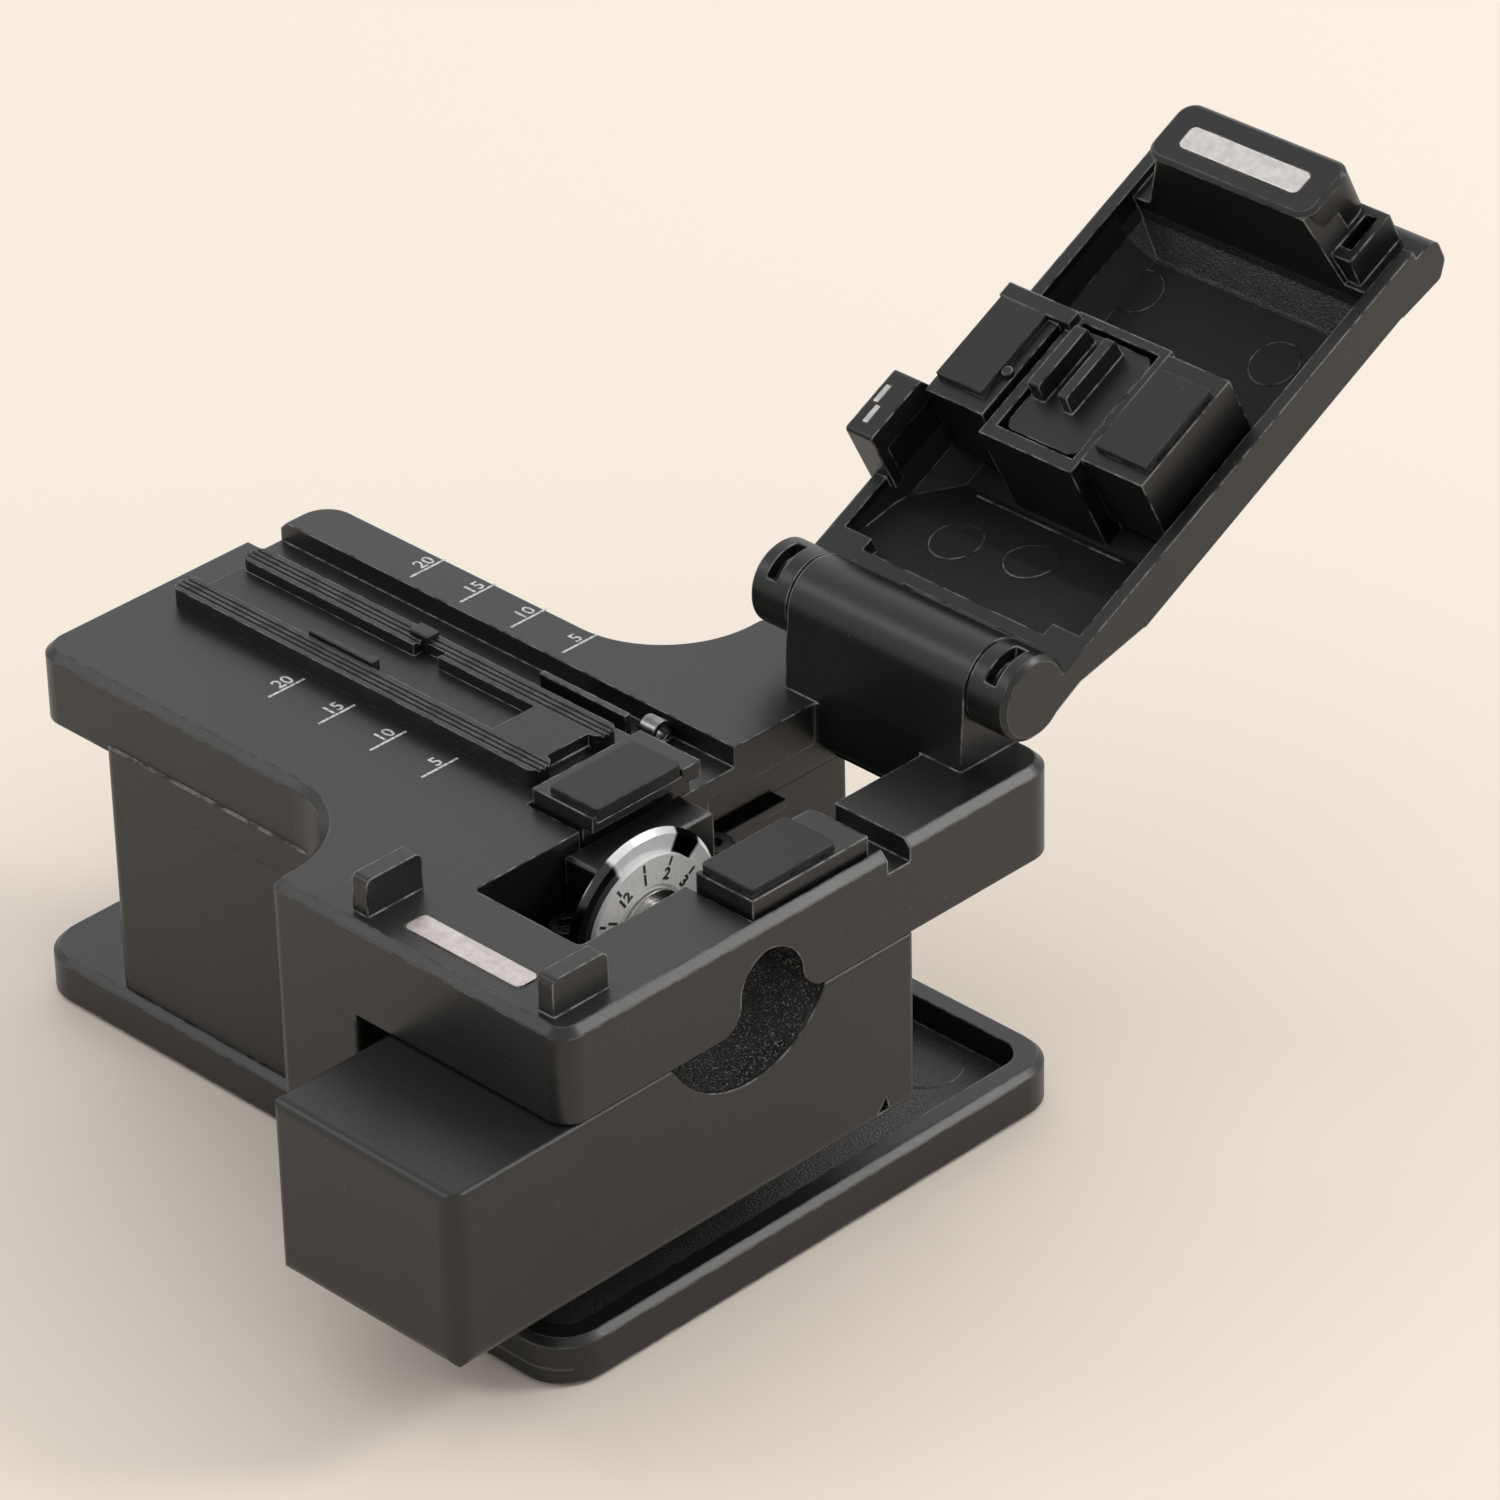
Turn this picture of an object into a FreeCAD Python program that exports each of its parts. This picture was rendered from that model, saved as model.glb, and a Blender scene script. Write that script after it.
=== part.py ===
import FreeCAD, Part
import math
import os

# Precision fibre cleaver: a hand-sized instrument with a T-shaped deck that holds the
# fibre, a blade carriage that slides under it, and a hinged lid that clamps the fibre.
# Millimetres.  X runs along the fibre, +Y towards the hinge, +Z up.  The origin is the
# centre of the base plate's footprint, on the surface that the anti-slip sheet stands on.
# The lid is modelled flat in its own frame (x, distance from the hinge, height above the
# hinge plane) and then swung open by LID_OPEN_DEG.

V = FreeCAD.Vector

# ---------------------------------------------------------------- driving dimensions
# base plate and feet
BASE_W = 62.0            # along X
BASE_D = 47.6            # along Y, widest part
BASE_TOP = 3.6           # rim height above the table
MAT_PROUD = 0.3          # anti-slip sheet below the plate
MAT_SEAT = 0.4           # depth of the sheet's recess
MAT_INSET = 1.6          # rim of plate left around the sheet
BASE_BEVEL = 0.5
RIM = 1.9                # width of the tray's rim
TRAY_DEPTH = 2.2
BASE_CORNER = 3.5

# lower body
LEG_X0 = -22.5           # left face of the leg
LEG_Y0 = -14.4
LEG_Y1 = 12.7
HOUSING_X0 = 4.2         # left face of the slider's housing wall
HOUSING_X1 = 12.2        # face that carries the linear rail
BODY_WALL = 2.0

# deck
DECK_TOP = 28.0
DECK_T = 7.0             # depth of the deck above the slider
SEAM_DROP = 0.6          # joint with the lower body, below the deck's underside
STAGE_X0 = -29.5         # free end of the fibre stage
STAGE_Y0 = -14.2
STAGE_Y1 = 13.2
STAGE_T = 5.5
HEAD_X1 = 31.6
HEAD_Y0 = -23.2
HEAD_Y1 = 22.5
HEAD_CORNERS = (1.0, 1.6, 2.4, 1.0)
NECK_R = 7.6             # inside radii where the stage meets the head
DECK_BEVEL = 0.6
CHANNEL_DEPTH = 1.6
CHANNEL_Y0 = 5.1
CHANNEL_Y1 = 8.7

# opening for the blade
WELL_X0 = 15.05
WELL_X1 = 24.8
WELL_Y0 = -15.1
WELL_Y1 = 16.5
CAVITY_X0 = 12.7         # undercut behind the blade, hidden by the top plate
CAVITY_X1 = 29.4
CAVITY_Y0 = 6.2
CAVITY_Y1 = 20.6
TOP_PLATE = 3.2          # metal left above the undercut

# slider and its guide
SLIDER_X0 = 15.0
SLIDER_Y1 = 8.6          # rear end at rest
SLIDER_L = 41.8
SLIDER_BOTTOM = 7.4
SLIDE_GAP = 0.15         # flat running gap
TRAVEL = 10.0
RAIL_W = 5.0
RAIL_T = 3.0
RAIL_Z = 12.2
RAIL_L = 34.0
CARRIAGE_L = 18.0
CARRIAGE_H = 8.2
CARRIAGE_T = 5.3
CARRIAGE_BACK = 27.1     # front of the carriage, from the slider's rear end
STOP_L = 2.4
STOP_GAP = 0.3

# blade set
BLADE_Y = -4.55
BLADE_R = 6.8
BLADE_UNDER = 0.6        # blade's edge below the fibre line
BLADE_X0 = 19.1
BLADE_T = 0.8
DIAL_R = 5.2
DIAL_T = 0.4
GROOVE_R = 3.15          # dark ring turned in the dial's face
GROOVE_W = 0.3
HUB_R = 2.4
SHANK_R = 1.25
HOLDER_X0 = 15.3
HOLDER_X1 = 18.55
HOLDER_DROP = 1.0        # top of the holder below the deck's top
HOLDER_Y0 = -7.2
HOLDER_Y1 = 3.2

# clamps
FIBRE_H = 1.75           # fibre line above the deck
PAD_T = 1.0
PAD_Y0 = -4.9
PAD_Y1 = 2.9
BLOCK_Y0 = -5.3
BLOCK_Y1 = 4.6
LEFT_BLOCK_W = 4.65      # from the edge of the blade's opening
LEFT_OVERHANG = 0.95     # over the opening
RIGHT_GAP = 0.7          # from the opening to the right block
RIGHT_BLOCK_W = 5.1

# hinge and lid
HINGE_IN = 2.65          # axis from the deck's rear face
HINGE_H = 5.6            # axis above the deck
HINGE_R = 3.05
PIN_R = 1.2
BARREL_X0 = 12.2
BARREL_X1 = 28.3
KNUCKLE_GAP = 0.2
LID_OPEN_DEG = 27.0      # lid direction above the horizontal when fully open
LID_X0 = 8.5
LID_X1 = 31.9
LID_START = 0.65         # shell starts this far from the hinge barrel
LID_L1 = 41.6            # end wall
LID_RIM = -0.5
LID_BACK = -6.2
LID_SIDE = 3.6           # height of the upright part of the side walls
LID_WALL = 1.0
END_WALL = 3.9           # thickness of the lid's solid free end
LIP_L = 43.8
LIP_TOP = -1.2

# fits
FIT = 0.02               # pieces pressed or glued together
RUN = 0.05               # shafts that turn, per side
LOOSE = 0.3              # pieces dropped into pockets


# ---------------------------------------------------------------- helpers
def block(x0, x1, y0, y1, z0, z1):
    return Part.makeBox(x1 - x0, y1 - y0, z1 - z0, V(x0, y0, z0))


def rod(axis, centre, r, a, b):
    """Cylinder from a to b along an axis; centre gives the other two coordinates."""
    if axis == "X":
        return Part.makeCylinder(r, b - a, V(a, centre[0], centre[1]), V(1, 0, 0))
    if axis == "Y":
        return Part.makeCylinder(r, b - a, V(centre[0], a, centre[1]), V(0, 1, 0))
    return Part.makeCylinder(r, b - a, V(centre[0], centre[1], a), V(0, 0, 1))


def place(axis, u, v, w):
    """A point of a flat outline: (u, v) in the outline's plane, w along the axis."""
    return {"X": V(w, u, v), "Y": V(u, w, v), "Z": V(u, v, w)}[axis]


def prism(axis, corners, a, b):
    """Straight prism from a to b along an axis. Each corner is (u, v, radius)."""
    edges = []
    ends = []
    n = len(corners)
    for i in range(n):
        u, v, r = corners[i]
        p = FreeCAD.Vector(u, v, 0)
        before = V(corners[i - 1][0], corners[i - 1][1], 0) - p
        after = V(corners[(i + 1) % n][0], corners[(i + 1) % n][1], 0) - p
        if r <= 0:
            ends.append((p, p, None))
            continue
        before.normalize()
        after.normalize()
        half = before.getAngle(after) / 2
        cut = r / math.tan(half)
        middle = before + after
        middle.normalize()
        centre = p + middle * (r / math.sin(half))
        top = centre - middle * r
        ends.append((p + before * cut, p + after * cut, top))
    for i in range(n):
        start, stop, top = ends[i]
        if top is not None:
            arc = [place(axis, q.x, q.y, a) for q in (start, top, stop)]
            edges.append(Part.Arc(*arc).toShape())
        following = ends[(i + 1) % n][0]
        if stop.distanceToPoint(following) > 1e-6:
            line = [place(axis, q.x, q.y, a) for q in (stop, following)]
            edges.append(Part.LineSegment(*line).toShape())
    face = Part.Face(Part.Wire(edges))
    return face.extrude(place(axis, 0, 0, b - a))


def box_round(x0, x1, y0, y1, z0, z1, r):
    """Upright block with rounded vertical corners."""
    return prism("Z", [(x0, y0, r), (x1, y0, r), (x1, y1, r), (x0, y1, r)], z0, z1)


def edges_at(shape, z):
    level = []
    for edge in shape.Edges:
        box = edge.BoundBox
        if abs(box.ZMin - z) < 1e-4 and abs(box.ZMax - z) < 1e-4:
            level.append(edge)
    return level


def bevel(shape, z, size):
    return shape.makeChamfer(size, edges_at(shape, z))


def screw(axis, centre, seat, tip, head_r, head_h, shank_r, socket_r=0.0):
    """Cap screw: the head's underside is at seat, the shank runs to tip."""
    way = 1 if tip > seat else -1
    head = rod(axis, centre, head_r, min(seat, seat - way * head_h), max(seat, seat - way * head_h))
    shank = rod(axis, centre, shank_r, min(seat, tip), max(seat, tip))
    if socket_r <= 0:
        return head.fuse(shank)
    outer = seat - way * head_h
    inner = outer + way * head_h * 0.6
    corners = []
    for i in range(6):
        angle = math.radians(60 * i)
        u = centre[0] + socket_r * math.cos(angle)
        v = centre[1] + socket_r * math.sin(angle)
        corners.append((u, v, 0))
    socket = prism(axis, corners, min(outer, inner), max(outer, inner))
    return head.fuse(shank).cut(socket).removeSplitter()


def save(name, shape):
    shape.exportStep("parts/" + name + ".step")


# ---------------------------------------------------------------- derived places
HEAD_X0 = HOUSING_X0
HEAD_UNDER = DECK_TOP - DECK_T
SEAM_Z = HEAD_UNDER - SEAM_DROP
CAVITY_TOP = DECK_TOP - TOP_PLATE
PAD_TOP = DECK_TOP + FIBRE_H
BLADE_Z = PAD_TOP - BLADE_UNDER - BLADE_R
HOLDER_TOP = DECK_TOP - HOLDER_DROP
LEFT_BLOCK_X0 = WELL_X0 - LEFT_BLOCK_W
LEFT_BLOCK_X1 = WELL_X0 + LEFT_OVERHANG
RIGHT_BLOCK_X0 = WELL_X1 + RIGHT_GAP
RIGHT_BLOCK_X1 = RIGHT_BLOCK_X0 + RIGHT_BLOCK_W
HINGE_Y = HEAD_Y1 - HINGE_IN
HINGE_Z = DECK_TOP + HINGE_H
LID_L0 = HINGE_R + LID_START
CARRIAGE_X1 = HOUSING_X1 + CARRIAGE_T
BASE_X0 = -BASE_W / 2
BASE_X1 = BASE_W / 2
BASE_Y0 = -BASE_D / 2
BASE_Y1 = BASE_D / 2
BASE_LEFT_Y0 = LEG_Y0 - 0.65
BASE_LEFT_Y1 = LEG_Y1 + 1.7
BASE_STEP_X = HOUSING_X0 - 1.0
SLIDER_X1 = HEAD_X1
SLIDER_Y0 = SLIDER_Y1 - SLIDER_L
SLIDER_TOP = HEAD_UNDER - SLIDE_GAP
CHANNEL_Z = DECK_TOP - CHANNEL_DEPTH
CASE_SCREWS = [(LEG_X0 + 4.5, LEG_Y0 + 4.0), (LEG_X0 + 4.5, LEG_Y1 - 4.0),
               (HOUSING_X0 + 4.0, HEAD_Y0 + 3.8), (HOUSING_X0 + 4.0, HEAD_Y1 - 3.8)]
CASE_SCREW_R = 1.2
CASE_HEAD_R = 2.2
CASE_HEAD_H = 1.3
CASE_SEAT = 2.2
CASE_TIP = DECK_TOP - 4.0
GUIDE_X0 = -26.6
GUIDE_X1 = 9.2
GUIDE_SCREWS = [(-16.0, -0.1), (0.0, -0.1)]
CARRIAGE_Y0 = SLIDER_Y1 - CARRIAGE_BACK
RAIL_Y0 = CARRIAGE_Y0 - STOP_GAP - STOP_L
RAIL_X1 = HOUSING_X1 + RAIL_T


# ---------------------------------------------------------------- base
def base_outline(inset=0.0):
    r = BASE_CORNER - inset
    x0 = BASE_X0 + inset
    x1 = BASE_X1 - inset
    step = BASE_STEP_X + inset
    return [(x0, BASE_LEFT_Y0 + inset, r), (step, BASE_LEFT_Y0 + inset, r), (step, BASE_Y0 + inset, r),
            (x1, BASE_Y0 + inset, r), (x1, BASE_Y1 - inset, r), (step, BASE_Y1 - inset, r),
            (step, BASE_LEFT_Y1 - inset, r), (x0, BASE_LEFT_Y1 - inset, r)]


def base_plate():
    plate = bevel(prism("Z", base_outline(), MAT_PROUD, BASE_TOP), BASE_TOP, BASE_BEVEL)
    tray = box_round(HOUSING_X1 + 0.4, BASE_X1 - RIM, BASE_Y0 + RIM, BASE_Y1 - RIM,
                     BASE_TOP - TRAY_DEPTH, BASE_TOP + 1, 2.0)
    recess = prism("Z", base_outline(MAT_INSET - FIT), 0, MAT_PROUD + MAT_SEAT)
    plate = plate.cut(tray).cut(recess)
    for x, y in CASE_SCREWS:
        plate = plate.cut(rod("Z", (x, y), CASE_SCREW_R + RUN, 0, BASE_TOP + 1))
        plate = plate.cut(rod("Z", (x, y), CASE_HEAD_R + RUN, 0, CASE_SEAT))
    return plate


def base_mat():
    return prism("Z", base_outline(MAT_INSET), 0, MAT_PROUD + MAT_SEAT)


def case_screws():
    screws = [screw("Z", c, CASE_SEAT, CASE_TIP, CASE_HEAD_R, CASE_HEAD_H, CASE_SCREW_R)
              for c in CASE_SCREWS]
    return Part.makeCompound(screws)


# ---------------------------------------------------------------- lower body
def body_outline(grow=0.0):
    r = 1.0
    return [(LEG_X0 - grow, LEG_Y0 - grow, r), (HOUSING_X0 - grow, LEG_Y0 - grow, 0.4),
            (HOUSING_X0 - grow, HEAD_Y0, r), (HOUSING_X1, HEAD_Y0, 0.4),
            (HOUSING_X1, HEAD_Y1 - 0.2, 0.4), (HOUSING_X0 - grow, HEAD_Y1 - 0.2, r),
            (HOUSING_X0 - grow, LEG_Y1 + grow, 0.4), (LEG_X0 - grow, LEG_Y1 + grow, r)]


def rail_screw_places():
    return [RAIL_Y0 + STOP_L + 4 + i * (RAIL_L - 2 * STOP_L - 8) / 2 for i in range(3)]


def lower_body():
    body = prism("Z", body_outline(), BASE_TOP, SEAM_Z)
    hollow = box_round(LEG_X0 + BODY_WALL, HOUSING_X0 - BODY_WALL + 1.0, LEG_Y0 + BODY_WALL,
                       LEG_Y1 - BODY_WALL, BASE_TOP - 1, SEAM_Z - BODY_WALL, 1.0)
    for x, y in CASE_SCREWS:
        hollow = hollow.cut(rod("Z", (x, y), CASE_HEAD_R + 1.0, BASE_TOP - 1, SEAM_Z))
    body = body.cut(hollow)
    # ledge at the seam, seen through the well
    ledge = block(HOUSING_X1 - 0.5, HOUSING_X1 + 1.3, 9.2, 15.0, SEAM_Z - 0.7, SEAM_Z)
    body = body.fuse(ledge)
    for x, y in CASE_SCREWS:
        body = body.cut(rod("Z", (x, y), CASE_SCREW_R + RUN, BASE_TOP - 1, SEAM_Z + 1))
    for y in rail_screw_places():
        body = body.cut(rod("X", (y, RAIL_Z), 0.8 + FIT, HOUSING_X1 - 4.1, HOUSING_X1 + 1))
    return body


# ---------------------------------------------------------------- deck
def head_outline():
    places = [(HEAD_X0, HEAD_Y0), (HEAD_X1, HEAD_Y0), (HEAD_X1, HEAD_Y1), (HEAD_X0, HEAD_Y1)]
    return [(x, y, r) for (x, y), r in zip(places, HEAD_CORNERS)]


def deck_outline():
    head = head_outline()
    return [(STAGE_X0, STAGE_Y0, 2.2), (HEAD_X0, STAGE_Y0, NECK_R), head[0], head[1], head[2], head[3],
            (HEAD_X0, STAGE_Y1, NECK_R), (STAGE_X0, STAGE_Y1, 2.8)]


def hinge_pedestal():
    side = [(WELL_Y1, DECK_TOP - 1.0, 0), (HEAD_Y1 - 0.4, DECK_TOP - 1.0, 0),
            (HEAD_Y1 - 0.2, HINGE_Z, 0), (HINGE_Y, HINGE_Z + 0.01, 0),
            (HINGE_Y - HINGE_R, HINGE_Z, 0), (WELL_Y1, DECK_TOP + 1.2, 0)]
    foot = prism("X", side, BARREL_X0, BARREL_X1)
    barrel = rod("X", (HINGE_Y, HINGE_Z), HINGE_R, BARREL_X0, BARREL_X1)
    return foot.fuse(barrel)


ARCH_Y = -4.6


def access_arch():
    """Leaning arch with flared feet in the deck's side; it leads to the blade screw."""
    def at(along, up):
        return V(WELL_X1 - 1, ARCH_Y + along, HEAD_UNDER + up)
    edges = [
        Part.Arc(at(-5.4, 0), at(-3.7, 0.35), at(-2.9, 1.9)).toShape(),
        Part.Arc(at(-2.9, 1.9), at(-2.15, 4.0), at(-0.4, 4.9)).toShape(),
        Part.Arc(at(-0.4, 4.9), at(1.6, 4.1), at(2.8, 2.2)).toShape(),
        Part.Arc(at(2.8, 2.2), at(3.3, 0.7), at(4.8, 0)).toShape(),
        Part.LineSegment(at(4.8, 0), at(4.8, -1)).toShape(),
        Part.LineSegment(at(4.8, -1), at(-5.4, -1)).toShape(),
        Part.LineSegment(at(-5.4, -1), at(-5.4, 0)).toShape(),
    ]
    return Part.Face(Part.Wire(edges)).extrude(V(HEAD_X1 - WELL_X1 + 2, 0, 0))


POST_Y0 = HEAD_Y0 + 1.2
POST_L = 4.85
POST_H = 2.75
POST_T = 1.4
POSTS_X = [11.1, 28.15]
MAGNET_X0 = 14.9
MAGNET_X1 = 25.5
MAGNET_Y = HEAD_Y0 + 2.95
MAGNET_W = 1.9
MAGNET_T = 1.6
MAGNET_PROUD = 0.1


def guide_post(x):
    """Short fin beside the magnet that meets the end of the closed lid."""
    front = POST_Y0
    rear = POST_Y0 + POST_L
    side = [(front, DECK_TOP - 0.5, 0), (rear, DECK_TOP - 0.5, 0), (rear, DECK_TOP + POST_H, 0.6),
            (front, DECK_TOP + POST_H, 0.5)]
    return prism("X", side, x, x + POST_T)


def magnet_bar(x0, x1, y, width, z0, z1, grow=0.0):
    r = 0.45
    return prism("Z", [(x0 - grow, y - width / 2 - grow, r), (x1 + grow, y - width / 2 - grow, r),
                       (x1 + grow, y + width / 2 + grow, r), (x0 - grow, y + width / 2 + grow, r)],
                 z0, z1)


def deck():
    under_stage = DECK_TOP - STAGE_T
    slab = bevel(prism("Z", deck_outline(), under_stage, DECK_TOP), DECK_TOP, DECK_BEVEL)
    head = prism("Z", head_outline(), SEAM_Z, under_stage + 1.0)
    plinth = prism("Z", body_outline(), SEAM_Z, under_stage + 0.5)
    shape = slab.fuse([head, plinth, hinge_pedestal()])
    for x in POSTS_X:
        shape = shape.fuse(guide_post(x))
    cuts = [
        block(HOUSING_X1, HEAD_X1 + 1, HEAD_Y0 - 1, HEAD_Y1 + 1, SEAM_Z - 1, HEAD_UNDER),
        box_round(WELL_X0, WELL_X1, WELL_Y0, WELL_Y1, SEAM_Z - 1, DECK_TOP + 1, 0.4),
        block(STAGE_X0 - 1, WELL_X0 + 1, CHANNEL_Y0, CHANNEL_Y1, CHANNEL_Z, DECK_TOP + 1),
        block(LEFT_BLOCK_X0 - LOOSE, WELL_X0 + 1, BLOCK_Y0 - LOOSE, CHANNEL_Y0 + 1, CHANNEL_Z, DECK_TOP + 1),
        block(WELL_X1 - 1, RIGHT_BLOCK_X1 + LOOSE, BLOCK_Y0 - LOOSE, CHANNEL_Y1 - 0.5, CHANNEL_Z,
              DECK_TOP + 1),
        block(RIGHT_BLOCK_X1, HEAD_X1 + 1, CHANNEL_Y1 - 2.6, CHANNEL_Y1 - 0.5, CHANNEL_Z, DECK_TOP + 1),
        access_arch(),
        block(CAVITY_X0, CAVITY_X1, CAVITY_Y0, CAVITY_Y1, SEAM_Z - 1, CAVITY_TOP),
        magnet_bar(MAGNET_X0, MAGNET_X1, MAGNET_Y, MAGNET_W, DECK_TOP - MAGNET_T, DECK_TOP + 1, FIT),
        rod("X", (HINGE_Y, HINGE_Z), PIN_R + RUN, BARREL_X0 - 1, BARREL_X1 + 1),
    ]
    for x, y in CASE_SCREWS:
        cuts.append(rod("Z", (x, y), CASE_SCREW_R + FIT, SEAM_Z - 1, CASE_TIP + 0.2))
    for x, y in GUIDE_SCREWS:
        cuts.append(rod("Z", (x, y), 0.8 + FIT, SEAM_Z - 1, DECK_TOP + 1))
        cuts.append(rod("Z", (x, y), 1.6 + FIT, SEAM_Z - 1, SEAM_Z + 1.6))
    for cut in cuts:
        shape = shape.cut(cut)
    # thin fence that stands up from the channel's floor
    fence = block(-0.9, 7.3, 6.2, 6.7, CHANNEL_Z - 0.2, DECK_TOP + 0.3)
    return shape.fuse(fence).removeSplitter()


def deck_magnet():
    return magnet_bar(MAGNET_X0, MAGNET_X1, MAGNET_Y, MAGNET_W, DECK_TOP - MAGNET_T,
                      DECK_TOP + MAGNET_PROUD)


# ---------------------------------------------------------------- fibre guide
GUIDE_FLOOR = 0.45
GUIDE_H = 1.35
RAIL_A_Y = -4.05
RAIL_B_Y = 1.85
GUIDE_RAIL_W = 2.0


def fibre_guide():
    top = DECK_TOP + GUIDE_H
    floor = box_round(GUIDE_X0 + 0.6, GUIDE_X1 - 0.8, RAIL_A_Y, RAIL_B_Y + GUIDE_RAIL_W, DECK_TOP,
                      DECK_TOP + GUIDE_FLOOR, 0.6)
    front = box_round(GUIDE_X0, GUIDE_X1, RAIL_A_Y, RAIL_A_Y + GUIDE_RAIL_W, DECK_TOP, top, 0.8)
    back = box_round(GUIDE_X0 + 0.6, GUIDE_X1, RAIL_B_Y, RAIL_B_Y + GUIDE_RAIL_W, DECK_TOP, top, 0.8)
    bridge = block(3.2, GUIDE_X1 - 0.9, RAIL_A_Y + 1, RAIL_B_Y + 0.5, DECK_TOP, top)
    shape = floor.fuse([front, back, bridge])
    # fine vee grooves that the fibre lies in
    for rail_y in (RAIL_A_Y, RAIL_B_Y):
        for i in range(3):
            y = rail_y + 0.55 + 0.45 * i
            vee = [(y - 0.14, top + 0.01, 0), (y, top - 0.24, 0), (y + 0.14, top + 0.01, 0)]
            shape = shape.cut(prism("X", vee, GUIDE_X0 - 1, GUIDE_X1 + 1))
    notch = block(-8.6, -6.2, RAIL_B_Y - 1, RAIL_B_Y + 0.9, DECK_TOP + GUIDE_FLOOR, top + 1)
    shape = shape.cut(notch)
    for x, y in GUIDE_SCREWS:
        shape = shape.cut(rod("Z", (x, y), 0.8 + FIT, DECK_TOP - 1, DECK_TOP + GUIDE_FLOOR - 0.1))
    return shape.removeSplitter()


def guide_screws():
    screws = [screw("Z", c, SEAM_Z + 1.6, DECK_TOP + GUIDE_FLOOR - 0.15, 1.6, 1.2, 0.8)
              for c in GUIDE_SCREWS]
    return Part.makeCompound(screws)


# ---------------------------------------------------------------- clamps on the deck
PAD_SEAT = PAD_TOP - PAD_T


def left_clamp_block():
    side = [(LEFT_BLOCK_X0, CHANNEL_Z, 0), (WELL_X0, CHANNEL_Z, 0), (WELL_X0, DECK_TOP + 0.1, 0),
            (LEFT_BLOCK_X1, DECK_TOP + 0.1, 0), (LEFT_BLOCK_X1, PAD_SEAT + 0.5, 0),
            (LEFT_BLOCK_X0, PAD_SEAT + 0.5, 0)]
    body = prism("Y", side, BLOCK_Y0, BLOCK_Y1)
    seat = block(LEFT_BLOCK_X0 + 1.1, LEFT_BLOCK_X1 + 1, PAD_Y0, PAD_Y1, PAD_SEAT, PAD_TOP + 1)
    return body.cut(seat)


def left_clamp_pad():
    return box_round(LEFT_BLOCK_X0 + 1.1 + FIT, LEFT_BLOCK_X1, PAD_Y0 + FIT, PAD_Y1 - FIT, PAD_SEAT,
                     PAD_TOP, 0.3)


def right_clamp_block():
    body = block(RIGHT_BLOCK_X0, RIGHT_BLOCK_X1, BLOCK_Y0, BLOCK_Y1 + 0.7, CHANNEL_Z, PAD_SEAT + 0.5)
    seat = block(RIGHT_BLOCK_X0 - 1, RIGHT_BLOCK_X1 - 0.5, PAD_Y0, PAD_Y1, PAD_SEAT, PAD_TOP + 1)
    return body.cut(seat)


def right_clamp_pad():
    return box_round(RIGHT_BLOCK_X0, RIGHT_BLOCK_X1 - 0.5 - FIT, PAD_Y0 + FIT, PAD_Y1 - FIT, PAD_SEAT,
                     PAD_TOP, 0.3)


def channel_clip():
    """Small formed spring-steel clip on the channel's floor beside the left clamp."""
    x = 8.4
    foot = block(x - 1.0, x + 1.3, CHANNEL_Y0 + 0.4, CHANNEL_Y1 - 0.3, CHANNEL_Z, CHANNEL_Z + 0.3)
    ring = rod("X", (CHANNEL_Y1 - 1.3, CHANNEL_Z + 1.0), 0.9, x - 0.2, x + 1.2)
    ring = ring.cut(rod("X", (CHANNEL_Y1 - 1.3, CHANNEL_Z + 1.0), 0.55, x - 1, x + 2))
    return foot.fuse(ring).removeSplitter()


# ---------------------------------------------------------------- slider
SCOOP_R = 7.9
SCOOP_Y = -6.8
SCOOP_Z = SLIDER_TOP + 3.65
SCOOP_X0 = BLADE_X0 + BLADE_T + 1.7
EAR_T = 1.4
EAR_SCREW_R = 0.8
CARRIAGE_SCREW_R = 0.8
SLIDER_POCKET_X0 = 20.0


def ear_places():
    return [(HOLDER_X0 + 1.65, HOLDER_Y0 - 1.5), (HOLDER_X0 + 1.65, HOLDER_Y1 + 1.5)]


def carriage_screw_places():
    return [(CARRIAGE_Y0 + along, RAIL_Z - 2.0) for along in (4.5, 13.5)]


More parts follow.
